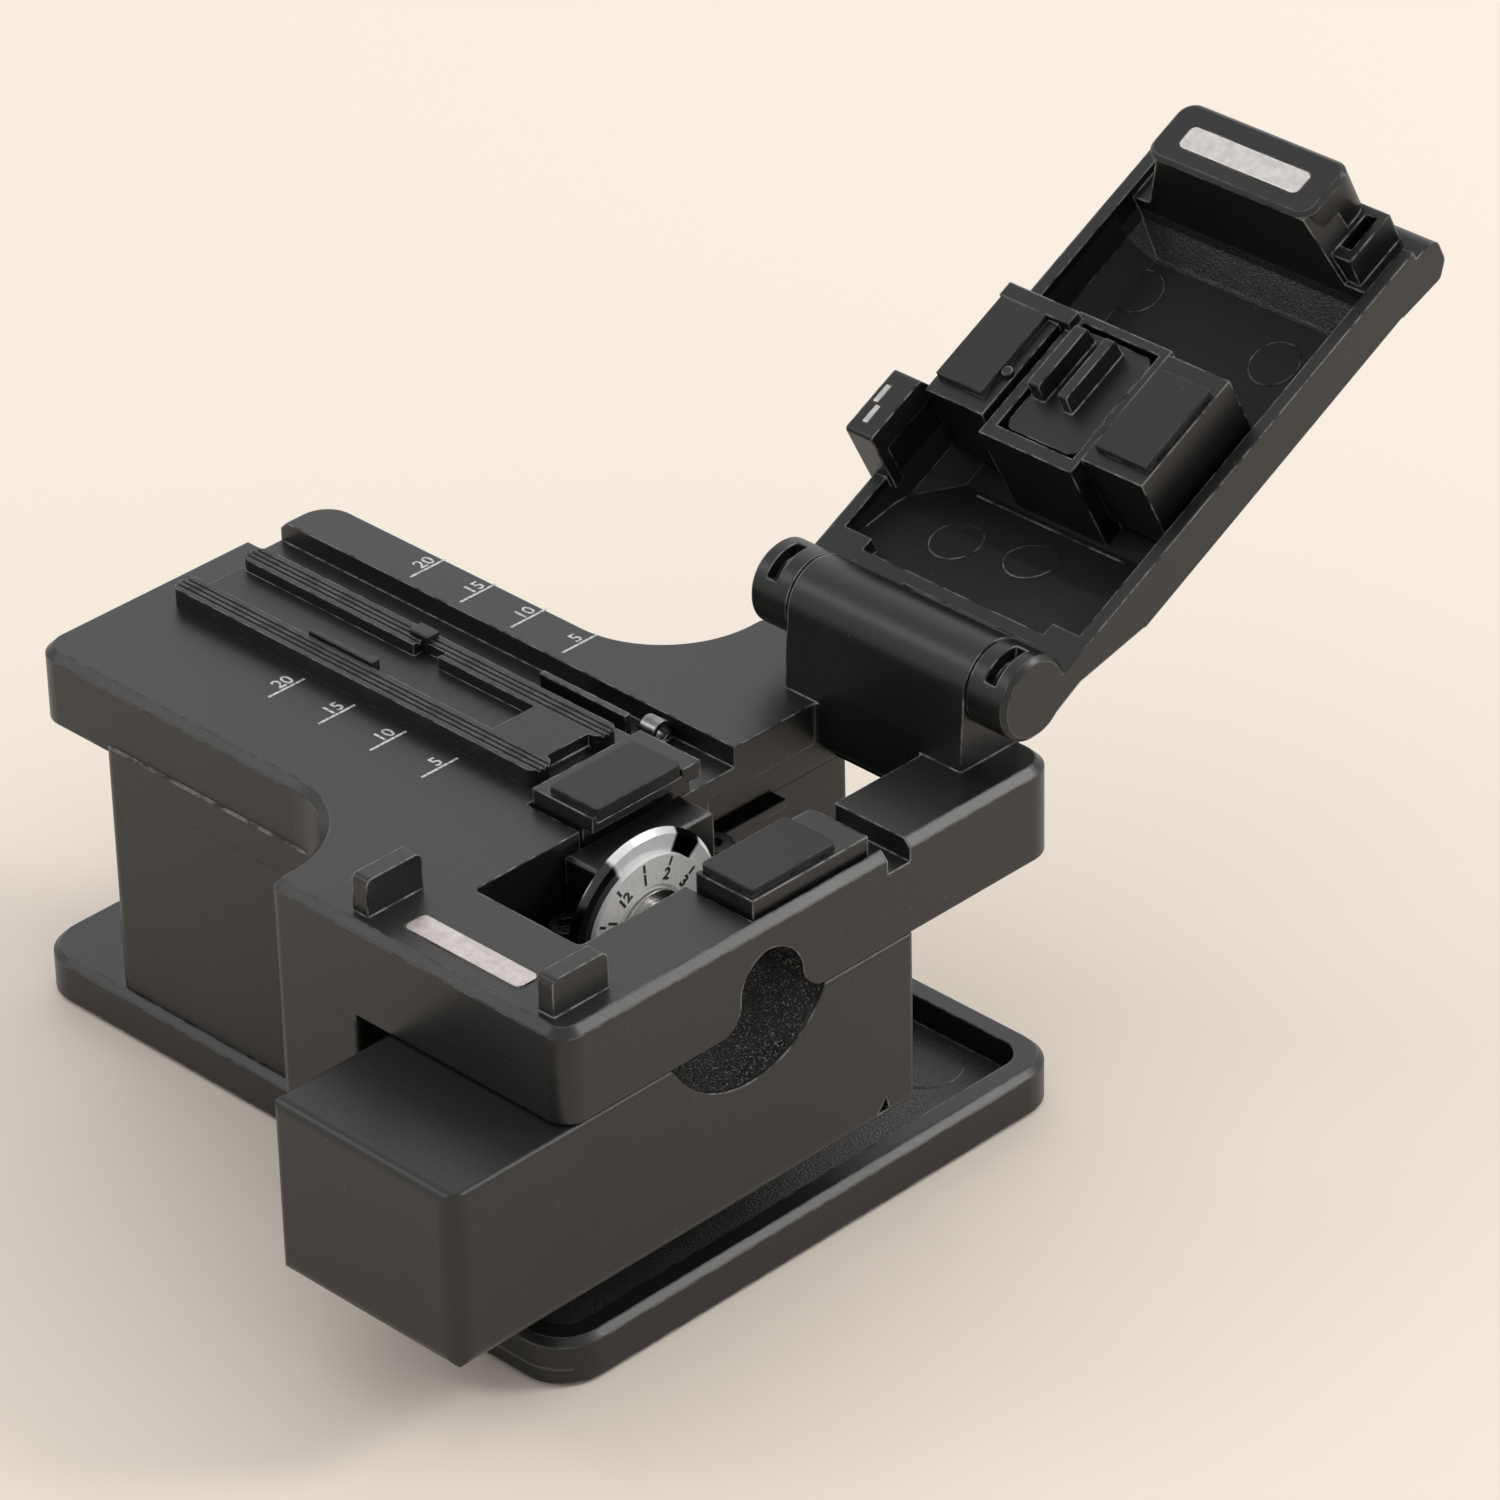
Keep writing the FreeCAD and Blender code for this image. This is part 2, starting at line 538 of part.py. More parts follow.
def slider():
    body = prism("Y", [(SLIDER_X0, SLIDER_BOTTOM, 0.8), (SLIDER_X1, SLIDER_BOTTOM, 1.0),
                       (SLIDER_X1, SLIDER_TOP, 0.4), (SLIDER_X0, SLIDER_TOP, 0.5)],
                 SLIDER_Y0, SLIDER_Y1)
    upright = prism("Z", [(SLIDER_X0, SLIDER_Y0, 0.6), (SLIDER_X1, SLIDER_Y0, 1.4),
                          (SLIDER_X1, SLIDER_Y1, 0.6), (SLIDER_X0, SLIDER_Y1, 0.6)],
                    SLIDER_BOTTOM - 1, SLIDER_TOP + 1)
    profile = prism("X", [(SLIDER_Y0, SLIDER_BOTTOM, 1.0), (SLIDER_Y1, SLIDER_BOTTOM, 1.6),
                          (SLIDER_Y1, SLIDER_TOP, 0.5), (SLIDER_Y0, SLIDER_TOP, 0.8)],
                    SLIDER_X0 - 1, SLIDER_X1 + 1)
    body = body.common(upright).common(profile)
    half = CARRIAGE_H / 2
    cuts = [
        # seat of the linear carriage in the left face
        block(SLIDER_X0 - 1, CARRIAGE_X1 + FIT, CARRIAGE_Y0 - FIT, CARRIAGE_Y0 + CARRIAGE_L + FIT,
              RAIL_Z - half - FIT, RAIL_Z + half + FIT),
        # clearance groove for the rail and its stops
        block(SLIDER_X0 - 1, RAIL_X1 + LOOSE + 0.7, RAIL_Y0 - TRAVEL - LOOSE, SLIDER_Y1 + 1,
              RAIL_Z - RAIL_W / 2 - LOOSE, RAIL_Z + RAIL_W / 2 + LOOSE),
        # slot for the blade and scoop for the key that turns its screw
        rod("X", (BLADE_Y, BLADE_Z), BLADE_R + 0.6, HOLDER_X1, SCOOP_X0),
        rod("X", (SCOOP_Y, SCOOP_Z), SCOOP_R, SCOOP_X0 - 0.01, SLIDER_X1 + 1),
        # seat for the tongue of the blade holder
        block(HOLDER_X0 + 0.8 - FIT, HOLDER_X1 + 0.01, HOLDER_Y0 - FIT, HOLDER_Y1 + FIT,
              SLIDER_TOP - 3.6, SLIDER_TOP + 1),
        # way for the blade screw, if the blade's axis lies as low as the slider's top
        rod("X", (BLADE_Y, BLADE_Z), SHANK_R + RUN, HOLDER_X0, HOLDER_X1),
        # weight-saving hollow under the slider
        block(SLIDER_POCKET_X0, SLIDER_X1 - 2.2, SLIDER_Y0 + 2.2, SLIDER_Y1 - 2.2,
              SLIDER_BOTTOM - 1, SLIDER_BOTTOM + 5.6),
        # small vent that opens the hollow near the rear foot
        prism("X", [(SLIDER_Y1 - 3.8, SLIDER_BOTTOM + 0.7, 0), (SLIDER_Y1 - 2.6, SLIDER_BOTTOM + 0.7, 0),
                    (SLIDER_Y1 - 2.9, SLIDER_BOTTOM + 1.8, 0)], SLIDER_X1 - 3, SLIDER_X1 + 1),
    ]
    for x, y in ear_places():
        cuts.append(rod("Z", (x, y), EAR_SCREW_R + FIT, SLIDER_TOP - 3.1, SLIDER_TOP + 1))
    for y, z in carriage_screw_places():
        cuts.append(rod("X", (y, z), CARRIAGE_SCREW_R + RUN, CARRIAGE_X1 - 1, SLIDER_POCKET_X0 + 1))
    for cut in cuts:
        body = body.cut(cut)
    return body.removeSplitter()


def linear_rail():
    half = RAIL_W / 2
    rail = block(HOUSING_X1, RAIL_X1, RAIL_Y0, RAIL_Y0 + RAIL_L, RAIL_Z - half, RAIL_Z + half)
    for sign in (-1, 1):
        edge = RAIL_Z + sign * (half + 0.01)
        vee = [(RAIL_X1 - 1.4, edge, 0), (RAIL_X1 - 0.9, edge - sign * 0.4, 0), (RAIL_X1 - 0.4, edge, 0)]
        rail = rail.cut(prism("Y", vee, RAIL_Y0 - 1, RAIL_Y0 + RAIL_L + 1))
    for y in rail_screw_places():
        rail = rail.cut(rod("X", (y, RAIL_Z), 0.8 + RUN, HOUSING_X1 - 1, RAIL_X1 + 1))
        rail = rail.cut(rod("X", (y, RAIL_Z), 1.4 + RUN, RAIL_X1 - 1.3, RAIL_X1 + 1))
    return rail.removeSplitter()


def rail_screws():
    screws = [screw("X", (y, RAIL_Z), RAIL_X1 - 1.3, HOUSING_X1 - 4.0, 1.4, 1.1, 0.8)
              for y in rail_screw_places()]
    return Part.makeCompound(screws)


def rail_carriage():
    half = CARRIAGE_H / 2
    body = block(HOUSING_X1 + 1.1, CARRIAGE_X1, CARRIAGE_Y0, CARRIAGE_Y0 + CARRIAGE_L,
                 RAIL_Z - half, RAIL_Z + half)
    slot = block(HOUSING_X1, RAIL_X1 + 0.12, CARRIAGE_Y0 - 1, CARRIAGE_Y0 + CARRIAGE_L + 1,
                 RAIL_Z - RAIL_W / 2 - 0.1, RAIL_Z + RAIL_W / 2 + 0.1)
    body = body.cut(slot)
    for y, z in carriage_screw_places():
        body = body.cut(rod("X", (y, z), CARRIAGE_SCREW_R + FIT, RAIL_X1 + 0.6, CARRIAGE_X1 + 1))
    return body.removeSplitter()


def carriage_screws():
    screws = [screw("X", c, SLIDER_POCKET_X0, RAIL_X1 + 0.7, 1.2, 0.9, CARRIAGE_SCREW_R)
              for c in carriage_screw_places()]
    return Part.makeCompound(screws)


def rail_stops():
    stops = []
    rest_front = CARRIAGE_Y0 - STOP_GAP - STOP_L
    full_back = CARRIAGE_Y0 + CARRIAGE_L + TRAVEL + STOP_GAP
    for y in (rest_front, full_back):
        stop = block(RAIL_X1, RAIL_X1 + 0.7, y, y + STOP_L, RAIL_Z - RAIL_W / 2 + 0.2,
                     RAIL_Z + RAIL_W / 2 - 0.2)
        stops.append(stop)
    return Part.makeCompound(stops)


# ---------------------------------------------------------------- blade set
def blade_holder():
    upright = block(HOLDER_X0, HOLDER_X1, HOLDER_Y0, HOLDER_Y1, SLIDER_TOP, HOLDER_TOP)
    upright = bevel(upright, HOLDER_TOP, 0.2)
    ears = box_round(HOLDER_X0, HOLDER_X1, HOLDER_Y0 - 3.0, HOLDER_Y1 + 3.0, SLIDER_TOP,
                     SLIDER_TOP + EAR_T, 0.8)
    tongue = block(HOLDER_X0 + 0.8, HOLDER_X1, HOLDER_Y0, HOLDER_Y1, SLIDER_TOP - 3.5, SLIDER_TOP + 0.5)
    shape = upright.fuse([ears, tongue])
    shape = shape.cut(rod("X", (BLADE_Y, BLADE_Z), SHANK_R + FIT, HOLDER_X0 - 1, HOLDER_X1 + 1))
    for x, y in ear_places():
        shape = shape.cut(rod("Z", (x, y), EAR_SCREW_R + RUN, SLIDER_TOP - 1, SLIDER_TOP + EAR_T + 1))
    return shape.removeSplitter()


def holder_screws():
    seat = SLIDER_TOP + EAR_T
    screws = [screw("Z", c, seat, SLIDER_TOP - 3.0, 1.3, 1.0, EAR_SCREW_R, 0.65) for c in ear_places()]
    return Part.makeCompound(screws)


HUB_X0 = HOLDER_X1 + RUN
DIAL_X0 = BLADE_X0 + BLADE_T + FIT
DIAL_X1 = DIAL_X0 + DIAL_T
WASHER_X0 = DIAL_X1 + RUN
WASHER_T = 0.3
WASHER_R = GROOVE_R - GROOVE_W
SCREW_SEAT = WASHER_X0 + WASHER_T


def blade_disc():
    disc = rod("X", (BLADE_Y, BLADE_Z), BLADE_R, BLADE_X0, BLADE_X0 + BLADE_T)
    rims = [e for e in disc.Edges if e.Curve.TypeId == "Part::GeomCircle"]
    disc = disc.makeChamfer(BLADE_T * 0.42, rims)
    return disc.cut(rod("X", (BLADE_Y, BLADE_Z), HUB_R + FIT, BLADE_X0 - 1, BLADE_X0 + 2))


def blade_hub():
    hub = rod("X", (BLADE_Y, BLADE_Z), HUB_R, HUB_X0, DIAL_X1)
    return hub.cut(rod("X", (BLADE_Y, BLADE_Z), SHANK_R + RUN, HUB_X0 - 1, DIAL_X1 + 1))


def blade_dial():
    dial = rod("X", (BLADE_Y, BLADE_Z), DIAL_R, DIAL_X0, DIAL_X1)
    dial = dial.cut(rod("X", (BLADE_Y, BLADE_Z), HUB_R + FIT, DIAL_X0 - 1, DIAL_X1 + 1))
    ring = rod("X", (BLADE_Y, BLADE_Z), GROOVE_R, DIAL_X1 - DIAL_T / 2, DIAL_X1 + 1)
    ring = ring.cut(rod("X", (BLADE_Y, BLADE_Z), GROOVE_R - GROOVE_W, DIAL_X0, DIAL_X1 + 2))
    return dial.cut(ring)


def blade_washer():
    ring = rod("X", (BLADE_Y, BLADE_Z), WASHER_R, WASHER_X0, WASHER_X0 + WASHER_T)
    return ring.cut(rod("X", (BLADE_Y, BLADE_Z), SHANK_R + RUN, WASHER_X0 - 1, WASHER_X0 + 2))


def blade_screw():
    return screw("X", (BLADE_Y, BLADE_Z), SCREW_SEAT, HOLDER_X0 + 0.2, 2.2, 1.5, SHANK_R, 1.0)


# ---------------------------------------------------------------- lid, in its own frame
ANVIL_L0 = 14.6          # front of the clamp block's middle part
ANVIL_L1 = 25.9
CARRIER_L0 = 15.7        # front of the two pad carriers
CARRIER_L1 = 25.4
LEFT_CARRIER_X0 = 10.2
LEFT_CARRIER_X1 = 15.4
MIDDLE_X0 = 15.9
MIDDLE_X1 = 24.2
RIGHT_CARRIER_X0 = 24.4
RIGHT_CARRIER_X1 = 29.8
MIDDLE_TOP = 2.9
LEDGE_TOP = 3.2
LID_PAD_TOP = HINGE_Z - PAD_TOP - 0.1
LID_PAD_T = 1.2
LID_FLOOR = LID_BACK + LID_WALL
BOSS_X0 = 12.8
BOSS_X1 = 27.6
BOSS_L0 = LID_L1 - END_WALL
BOSS_L1 = 42.9
BOSS_TOP = HINGE_Z - DECK_TOP - 0.4
LID_MAGNET_L = HINGE_Y - MAGNET_Y
ARM_X0 = 7.6
ARM_X1 = 10.0
ARM_TOP = 3.9
INSERTS = [(8.6, 11.3), (8.15, 13.0)]
INSERT_L = 1.5
INSERT_W = 0.4
ANVIL_SCREWS = [(12.6, 20.6), (27.2, 20.6)]


def open_lid(shape):
    swing = FreeCAD.Placement(V(0, HINGE_Y, HINGE_Z), FreeCAD.Rotation(V(1, 0, 0), LID_OPEN_DEG))
    turned = shape.copy()
    turned.Placement = swing.multiply(turned.Placement)
    return turned


def lid_form(wall):
    """Solid of the lid, drawn in by a wall thickness: side profile met by cross-section."""
    w = wall
    end = LID_L1 - END_WALL * w
    profile = [(LID_L0 + w, LID_RIM + 5 * w, 0), (end, LID_RIM + 5 * w, 0), (end, -4.3 + 0.8 * w, 0),
               (LID_L1 - 4.6 - 0.9 * w, LID_BACK + w, 0), (14.0 + 0.4 * w, LID_BACK + w, 0),
               (9.7 + 0.3 * w, -3.95 + 0.95 * w, 0), (LID_L0 + w, -2.45 + 0.9 * w, 0)]
    section = [(LID_X0 + w, LID_RIM + 5 * w, 0), (LID_X0 + w, LID_RIM - LID_SIDE + 0.5 * w, 0),
               (LID_X0 + 2.3 + 0.6 * w, LID_BACK + w, 0), (LID_X1 - 2.3 - 0.6 * w, LID_BACK + w, 0),
               (LID_X1 - w, LID_RIM - LID_SIDE + 0.5 * w, 0), (LID_X1 - w, LID_RIM + 5 * w, 0)]
    along = prism("X", profile, LID_X0 - 1, LID_X1 + 1)
    across = prism("Y", section, 0, LID_L1 + 5)
    return along.common(across)


def knuckle(x0, x1, outer):
    """End of the hinge that grows out of the lid's side wall; outer is its free end face."""
    disc = rod("X", (0, 0), HINGE_R, x0, x1)
    rims = []
    for edge in disc.Edges:
        box = edge.BoundBox
        if abs(box.XMin - outer) < 1e-4 and abs(box.XMax - outer) < 1e-4:
            rims.append(edge)
    disc = disc.makeChamfer(0.35, rims)
    side = [(-0.4, -2.6, 0), (3.6, -2.42, 0), (LID_L0 + 2.0, -2.9, 0), (LID_L0 + 2.0, LID_RIM, 0),
            (2.6, LID_RIM, 0), (1.4, 2.1, 0), (0, 0, 0)]
    shape = disc.fuse(prism("X", side, x0, x1))
    # curved slot through which the pin's retainer shows
    middle = (x0 + x1) / 2
    ring = rod("X", (0, 0), HINGE_R + 1, middle - 0.5, middle + 0.5)
    ring = ring.cut(rod("X", (0, 0), HINGE_R - 1.0, x0, x1))
    wedge = [(0, 0, 0)]
    for degrees in (52, 86, 120):
        angle = math.radians(degrees)
        wedge.append((9 * math.cos(angle), 9 * math.sin(angle), 0))
    return shape.cut(ring.common(prism("X", wedge, x0, x1)))


def end_boss():
    """Solid free end of the lid: finger lip, magnet boss with its shoulders, and slotted ear."""
    side = [(BOSS_L0 + 1, -4.2, 0), (LIP_L - 1.0, -4.6, 0.6), (LIP_L, -3.6, 0.8),
            (LIP_L, LIP_TOP, 1.0), (BOSS_L0 + 1, LIP_TOP, 0)]
    lip = prism("X", side, LID_X0, LID_X1)
    boss = box_round(BOSS_X0, BOSS_X1, BOSS_L0, BOSS_L1, -3.6, BOSS_TOP, 1.3)
    boss = bevel(boss, BOSS_TOP, 0.3)
    front = [(11.0, LIP_TOP - 1, 0), (28.7, LIP_TOP - 1, 0), (28.6, LIP_TOP, 0),
             (27.2, BOSS_TOP - 0.3, 0), (14.0, BOSS_TOP - 0.3, 0), (11.0, LIP_TOP, 0)]
    shoulders = prism("Y", front, BOSS_L0, BOSS_L0 + 2.6)
    ear = block(27.0, 29.7, 38.1, 42.6, LIP_TOP - 1.6, 1.3)
    slot = block(28.1, 29.1, 39.0, 41.95, LIP_TOP - 1.0, 3)
    return lip.fuse([boss, shoulders, ear]).cut(slot)


LEFT_KNUCKLE = (LID_X0, BARREL_X0 - KNUCKLE_GAP, LID_X0)
RIGHT_KNUCKLE = (BARREL_X1 + KNUCKLE_GAP, LID_X1, LID_X1)
PIN_X0 = LID_X0 + 0.5
PIN_X1 = LID_X1 - 1.0


def lid_shell():
    shape = lid_form(0).cut(lid_form(LID_WALL))
    end_top = block(LID_X0 + LID_WALL, LID_X1 - LID_WALL, BOSS_L0 - 0.1, LID_L1 + 1, LIP_TOP, 3)
    shape = shape.cut(end_top)
    # tab that closes the left part of the gap behind the barrel
    tab = block(BARREL_X0, BARREL_X0 + 4.3, HINGE_R + LOOSE, LID_L0 + 0.1, -2.2, LID_RIM)
    shape = shape.fuse(tab)
    shape = shape.fuse([knuckle(*LEFT_KNUCKLE), knuckle(*RIGHT_KNUCKLE), end_boss()])
    # fibre arm on the left wall
    arm = prism("X", [(10.3, LID_RIM - 1, 0), (16.9, LID_RIM - 1, 0), (16.9, 1.5, 0), (15.8, ARM_TOP, 0.3),
                      (10.3, ARM_TOP, 0.3)], ARM_X0, ARM_X1)
    arm = arm.cut(block(LID_X0 + LID_WALL, ARM_X1 + 1, 11.2, 18, -3, 1.9))
    shape = shape.fuse(arm)
    cuts = [
        magnet_bar(MAGNET_X0, MAGNET_X1, LID_MAGNET_L, MAGNET_W, BOSS_TOP - MAGNET_T, BOSS_TOP + 1, FIT),
        rod("X", (0, 0), PIN_R + FIT, LID_X0 - 1, PIN_X1),
    ]
    for x, y in ANVIL_SCREWS:
        cuts.append(rod("Z", (x, y), 0.8 + FIT, LID_FLOOR - 0.6, 3))
    for x, y in INSERTS:
        cuts.append(block(x - INSERT_W / 2, x + INSERT_W / 2, y, y + INSERT_L, ARM_TOP - 1.2, ARM_TOP + 1))
    for cut in cuts:
        shape = shape.cut(cut)
    return shape.removeSplitter()


def hinge_pin():
    return rod("X", (0, 0), PIN_R, PIN_X0, PIN_X1)


def lid_magnet():
    return magnet_bar(MAGNET_X0, MAGNET_X1, LID_MAGNET_L, MAGNET_W, BOSS_TOP - MAGNET_T, BOSS_TOP + 0.05)


def arm_inserts():
    inserts = [block(x - INSERT_W / 2, x + INSERT_W / 2, y, y + INSERT_L, ARM_TOP - 1.2, ARM_TOP + 0.05)
               for x, y in INSERTS]
    return Part.makeCompound(inserts)


ANVIL_SLOT_X0 = 16.7
ANVIL_SLOT_X1 = 23.6
ANVIL_SLOT_L0 = 15.6
ANVIL_SLOT_L1 = 25.2
ANVIL_FLOOR = 0.2        # bottom of the slot
SPRING_SEAT = -1.2       # bottom of the spring's pocket
PLATE_TOP = 2.6
PLATE_T = 1.2
SEAT_N = LID_PAD_TOP - LID_PAD_T
RIB_TOP = 4.2
RIBS_X = [(17.4, 18.4), (20.1, 20.9)]
SPRING_X = 20.2
SPRING_HALF = 2.2
SPRING_T = 0.2
SPRING_L0 = 19.0
SPRING_L1 = 22.0


def anvil_block():
    """Clamp block in the lid: a middle part with a slot, and a pad carrier on either side."""
    foot = block(11.6, 28.8, CARRIER_L0 + 0.6, CARRIER_L1, LID_FLOOR, -3.0)
    middle = block(MIDDLE_X0, MIDDLE_X1, ANVIL_L0, ANVIL_L1, LID_FLOOR, MIDDLE_TOP)
    left = block(LEFT_CARRIER_X0, LEFT_CARRIER_X1, CARRIER_L0, CARRIER_L1, -3.3, LEDGE_TOP)
    right = block(RIGHT_CARRIER_X0, RIGHT_CARRIER_X1, CARRIER_L0, CARRIER_L1, -3.3, LEDGE_TOP)
    bridge = block(LEFT_CARRIER_X1 - 1, RIGHT_CARRIER_X0 + 1, CARRIER_L0 + 0.4, CARRIER_L1, -3.3, 1.5)
    strip = block(LEFT_CARRIER_X0, MIDDLE_X0 + 0.6, CARRIER_L1 - 1.2, CARRIER_L1, 1.0, LID_PAD_TOP)
    body = foot.fuse([middle, left, right, bridge, strip])
    cuts = [
        block(ANVIL_SLOT_X0, ANVIL_SLOT_X1, ANVIL_SLOT_L0, ANVIL_SLOT_L1, ANVIL_FLOOR, 6),
        block(SPRING_X - SPRING_HALF - 0.6, SPRING_X + SPRING_HALF + 0.6, SPRING_L0 - LOOSE,
              SPRING_L1 + LOOSE, SPRING_SEAT, ANVIL_FLOOR + 1),
        block(LEFT_CARRIER_X0 + 0.2, 14.5, CARRIER_L0 + 1.2, CARRIER_L1 - 1.2, SEAT_N, 6),
        block(RIGHT_CARRIER_X0 + 0.5, RIGHT_CARRIER_X1 - 0.4, CARRIER_L0 + 1.1, CARRIER_L1 - 1.4,
              SEAT_N, 6),
    ]
    for x, y in ANVIL_SCREWS:
        cuts.append(rod("Z", (x, y), 0.8 + RUN, LID_FLOOR - 1, 6))
        cuts.append(rod("Z", (x, y), 1.5 + RUN, SEAT_N - 1.5, 6))
    for cut in cuts:
        body = body.cut(cut)
    return body.removeSplitter()


def anvil_screws():
    screws = [screw("Z", c, SEAT_N - 1.5, LID_FLOOR - 0.5, 1.5, 1.2, 0.8) for c in ANVIL_SCREWS]
    return Part.makeCompound(screws)


def lid_left_pad():
    return block(LEFT_CARRIER_X0 + 0.2 + FIT, 14.5 - FIT, CARRIER_L0 + 1.2 + FIT, CARRIER_L1 - 1.2 - FIT,
                 SEAT_N, LID_PAD_TOP)


def lid_right_pad():
    return block(RIGHT_CARRIER_X0 + 0.5 + FIT, RIGHT_CARRIER_X1 - 0.4 - FIT, CARRIER_L0 + 1.1 + FIT,
                 CARRIER_L1 - 1.4 - FIT, SEAT_N, LID_PAD_TOP)


def bend_anvil():
    """Plate with two ribs that presses the fibre down on both sides of the blade."""
    shape = box_round(ANVIL_SLOT_X0 + LOOSE, ANVIL_SLOT_X1 - LOOSE, ANVIL_SLOT_L0 + LOOSE,
                      ANVIL_SLOT_L1 - LOOSE, PLATE_TOP - PLATE_T, PLATE_TOP, 0.8)
    for x0, x1 in RIBS_X:
        rib = prism("X", [(18.7, PLATE_TOP - 0.5, 0), (24.4, PLATE_TOP - 0.5, 0), (24.3, RIB_TOP, 0.3),
                          (18.8, RIB_TOP, 0.3)], x0, x1)
        shape = shape.fuse(rib)
    return shape.removeSplitter()


def anvil_spring():
    """Arched leaf spring between the slot's pocket and the bending anvil."""
    top = PLATE_TOP - PLATE_T
    outer = Part.Arc(V(SPRING_X - SPRING_HALF, SPRING_L0, SPRING_SEAT), V(SPRING_X, SPRING_L0, top),
                     V(SPRING_X + SPRING_HALF, SPRING_L0, SPRING_SEAT)).toShape()
    inner = Part.Arc(V(SPRING_X + SPRING_HALF - SPRING_T, SPRING_L0, SPRING_SEAT),
                     V(SPRING_X, SPRING_L0, top - SPRING_T),
                     V(SPRING_X - SPRING_HALF + SPRING_T, SPRING_L0, SPRING_SEAT)).toShape()
    right = Part.LineSegment(V(SPRING_X + SPRING_HALF, SPRING_L0, SPRING_SEAT),
                             V(SPRING_X + SPRING_HALF - SPRING_T, SPRING_L0, SPRING_SEAT)).toShape()
    left = Part.LineSegment(V(SPRING_X - SPRING_HALF + SPRING_T, SPRING_L0, SPRING_SEAT),
                            V(SPRING_X - SPRING_HALF, SPRING_L0, SPRING_SEAT)).toShape()
    face = Part.Face(Part.Wire([outer, right, inner, left]))
    return face.extrude(V(0, SPRING_L1 - SPRING_L0, 0))


# ---------------------------------------------------------------- write the parts
os.makedirs("parts", exist_ok=True)

FIXED = {
    "base_plate": base_plate, "base_mat": base_mat, "case_screws": case_screws,
    "lower_body": lower_body, "deck": deck, "deck_magnet": deck_magnet,
    "fibre_guide": fibre_guide, "guide_screws": guide_screws,
    "left_clamp_block": left_clamp_block, "left_clamp_pad": left_clamp_pad,
    "right_clamp_block": right_clamp_block, "right_clamp_pad": right_clamp_pad,
    "channel_clip": channel_clip, "linear_rail": linear_rail, "rail_screws": rail_screws,
    "rail_stops": rail_stops,
}
SLIDING = {
    "slider": slider, "rail_carriage": rail_carriage, "carriage_screws": carriage_screws,
    "blade_holder": blade_holder, "holder_screws": holder_screws, "blade_disc": blade_disc,
    "blade_hub": blade_hub, "blade_dial": blade_dial, "blade_washer": blade_washer,
    "blade_screw": blade_screw,
}
LID = {
    "lid_shell": lid_shell, "hinge_pin": hinge_pin, "lid_magnet": lid_magnet, "arm_inserts": arm_inserts,
    "anvil_block": anvil_block, "anvil_screws": anvil_screws, "lid_left_pad": lid_left_pad,
    "lid_right_pad": lid_right_pad, "bend_anvil": bend_anvil, "anvil_spring": anvil_spring,
}

for name, make in {**FIXED, **SLIDING}.items():
    save(name, make())
for name, make in LID.items():
    save(name, open_lid(make()))
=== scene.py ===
import math

import bmesh
import bpy
from mathutils import Matrix, Vector


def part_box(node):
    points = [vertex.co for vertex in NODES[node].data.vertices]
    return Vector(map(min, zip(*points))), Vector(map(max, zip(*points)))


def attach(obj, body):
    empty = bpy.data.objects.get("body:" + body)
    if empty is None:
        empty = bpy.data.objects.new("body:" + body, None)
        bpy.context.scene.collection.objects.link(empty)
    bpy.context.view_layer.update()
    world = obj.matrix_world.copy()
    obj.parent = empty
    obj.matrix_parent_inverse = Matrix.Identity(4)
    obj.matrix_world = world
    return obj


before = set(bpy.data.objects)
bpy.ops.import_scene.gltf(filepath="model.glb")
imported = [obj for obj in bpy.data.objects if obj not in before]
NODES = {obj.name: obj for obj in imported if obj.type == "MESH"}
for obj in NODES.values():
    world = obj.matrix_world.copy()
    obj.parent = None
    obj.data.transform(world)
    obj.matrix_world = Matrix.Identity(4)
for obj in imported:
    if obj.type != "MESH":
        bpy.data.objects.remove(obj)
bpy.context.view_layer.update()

MM = 0.001
HINGE = (0.0, 19.85 * MM, 33.6 * MM)     # a point on the lid's hinge axis
LID_OPEN = math.radians(27.0)            # the lid's rise above the horizontal at rest
LID_SWING = Matrix.Translation(HINGE) @ Matrix.Rotation(LID_OPEN, 4, "X")
MAGNET_PROUD = 0.1 * MM
STAGE_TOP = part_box("deck_magnet")[1].z - MAGNET_PROUD
TRAY_FLOOR = 1.4                         # in millimetres

WORN_AND_HIGHLIGHT = (0.42, 0.41, 0.40)                # metal that shows on worn edges, and a painted highlight along them
# light specks: dust, and painted glints
DUST_AND_GLINT = (0.12, 0.12, 0.115)
CAST_DARK = (0.008, 0.008, 0.008)        # as-cast grain in the scoop; its light crests are painted glints
CAST_CREST_GLINT = (0.30, 0.295, 0.285)
SLOPE_DARK = (0.025, 0.025, 0.025)       # end slope of the lid's floor: grain in tones lighter than the lid, painted light on this facet
SLOPE_LIGHT = (0.085, 0.085, 0.085)
TRAY_DARK = (0.05, 0.05, 0.05)           # floor of the base's tray: grain in tones lighter than the coat, painted light against the shade under its rim
TRAY_LIGHT = (0.09, 0.09, 0.089)


# ---------------------------------------------------------------- camera, light, floor
LENS_MM = 180.24         # for a sensor 36 mm wide
SENSOR_MM = 36.0
CAMERA_AT = Vector((0.3168, -0.2884, 0.2883))
CAMERA_RIGHT = Vector((0.71195, 0.70193, -0.02012))
CAMERA_BACK = Vector((0.60542, -0.59904, 0.52404))


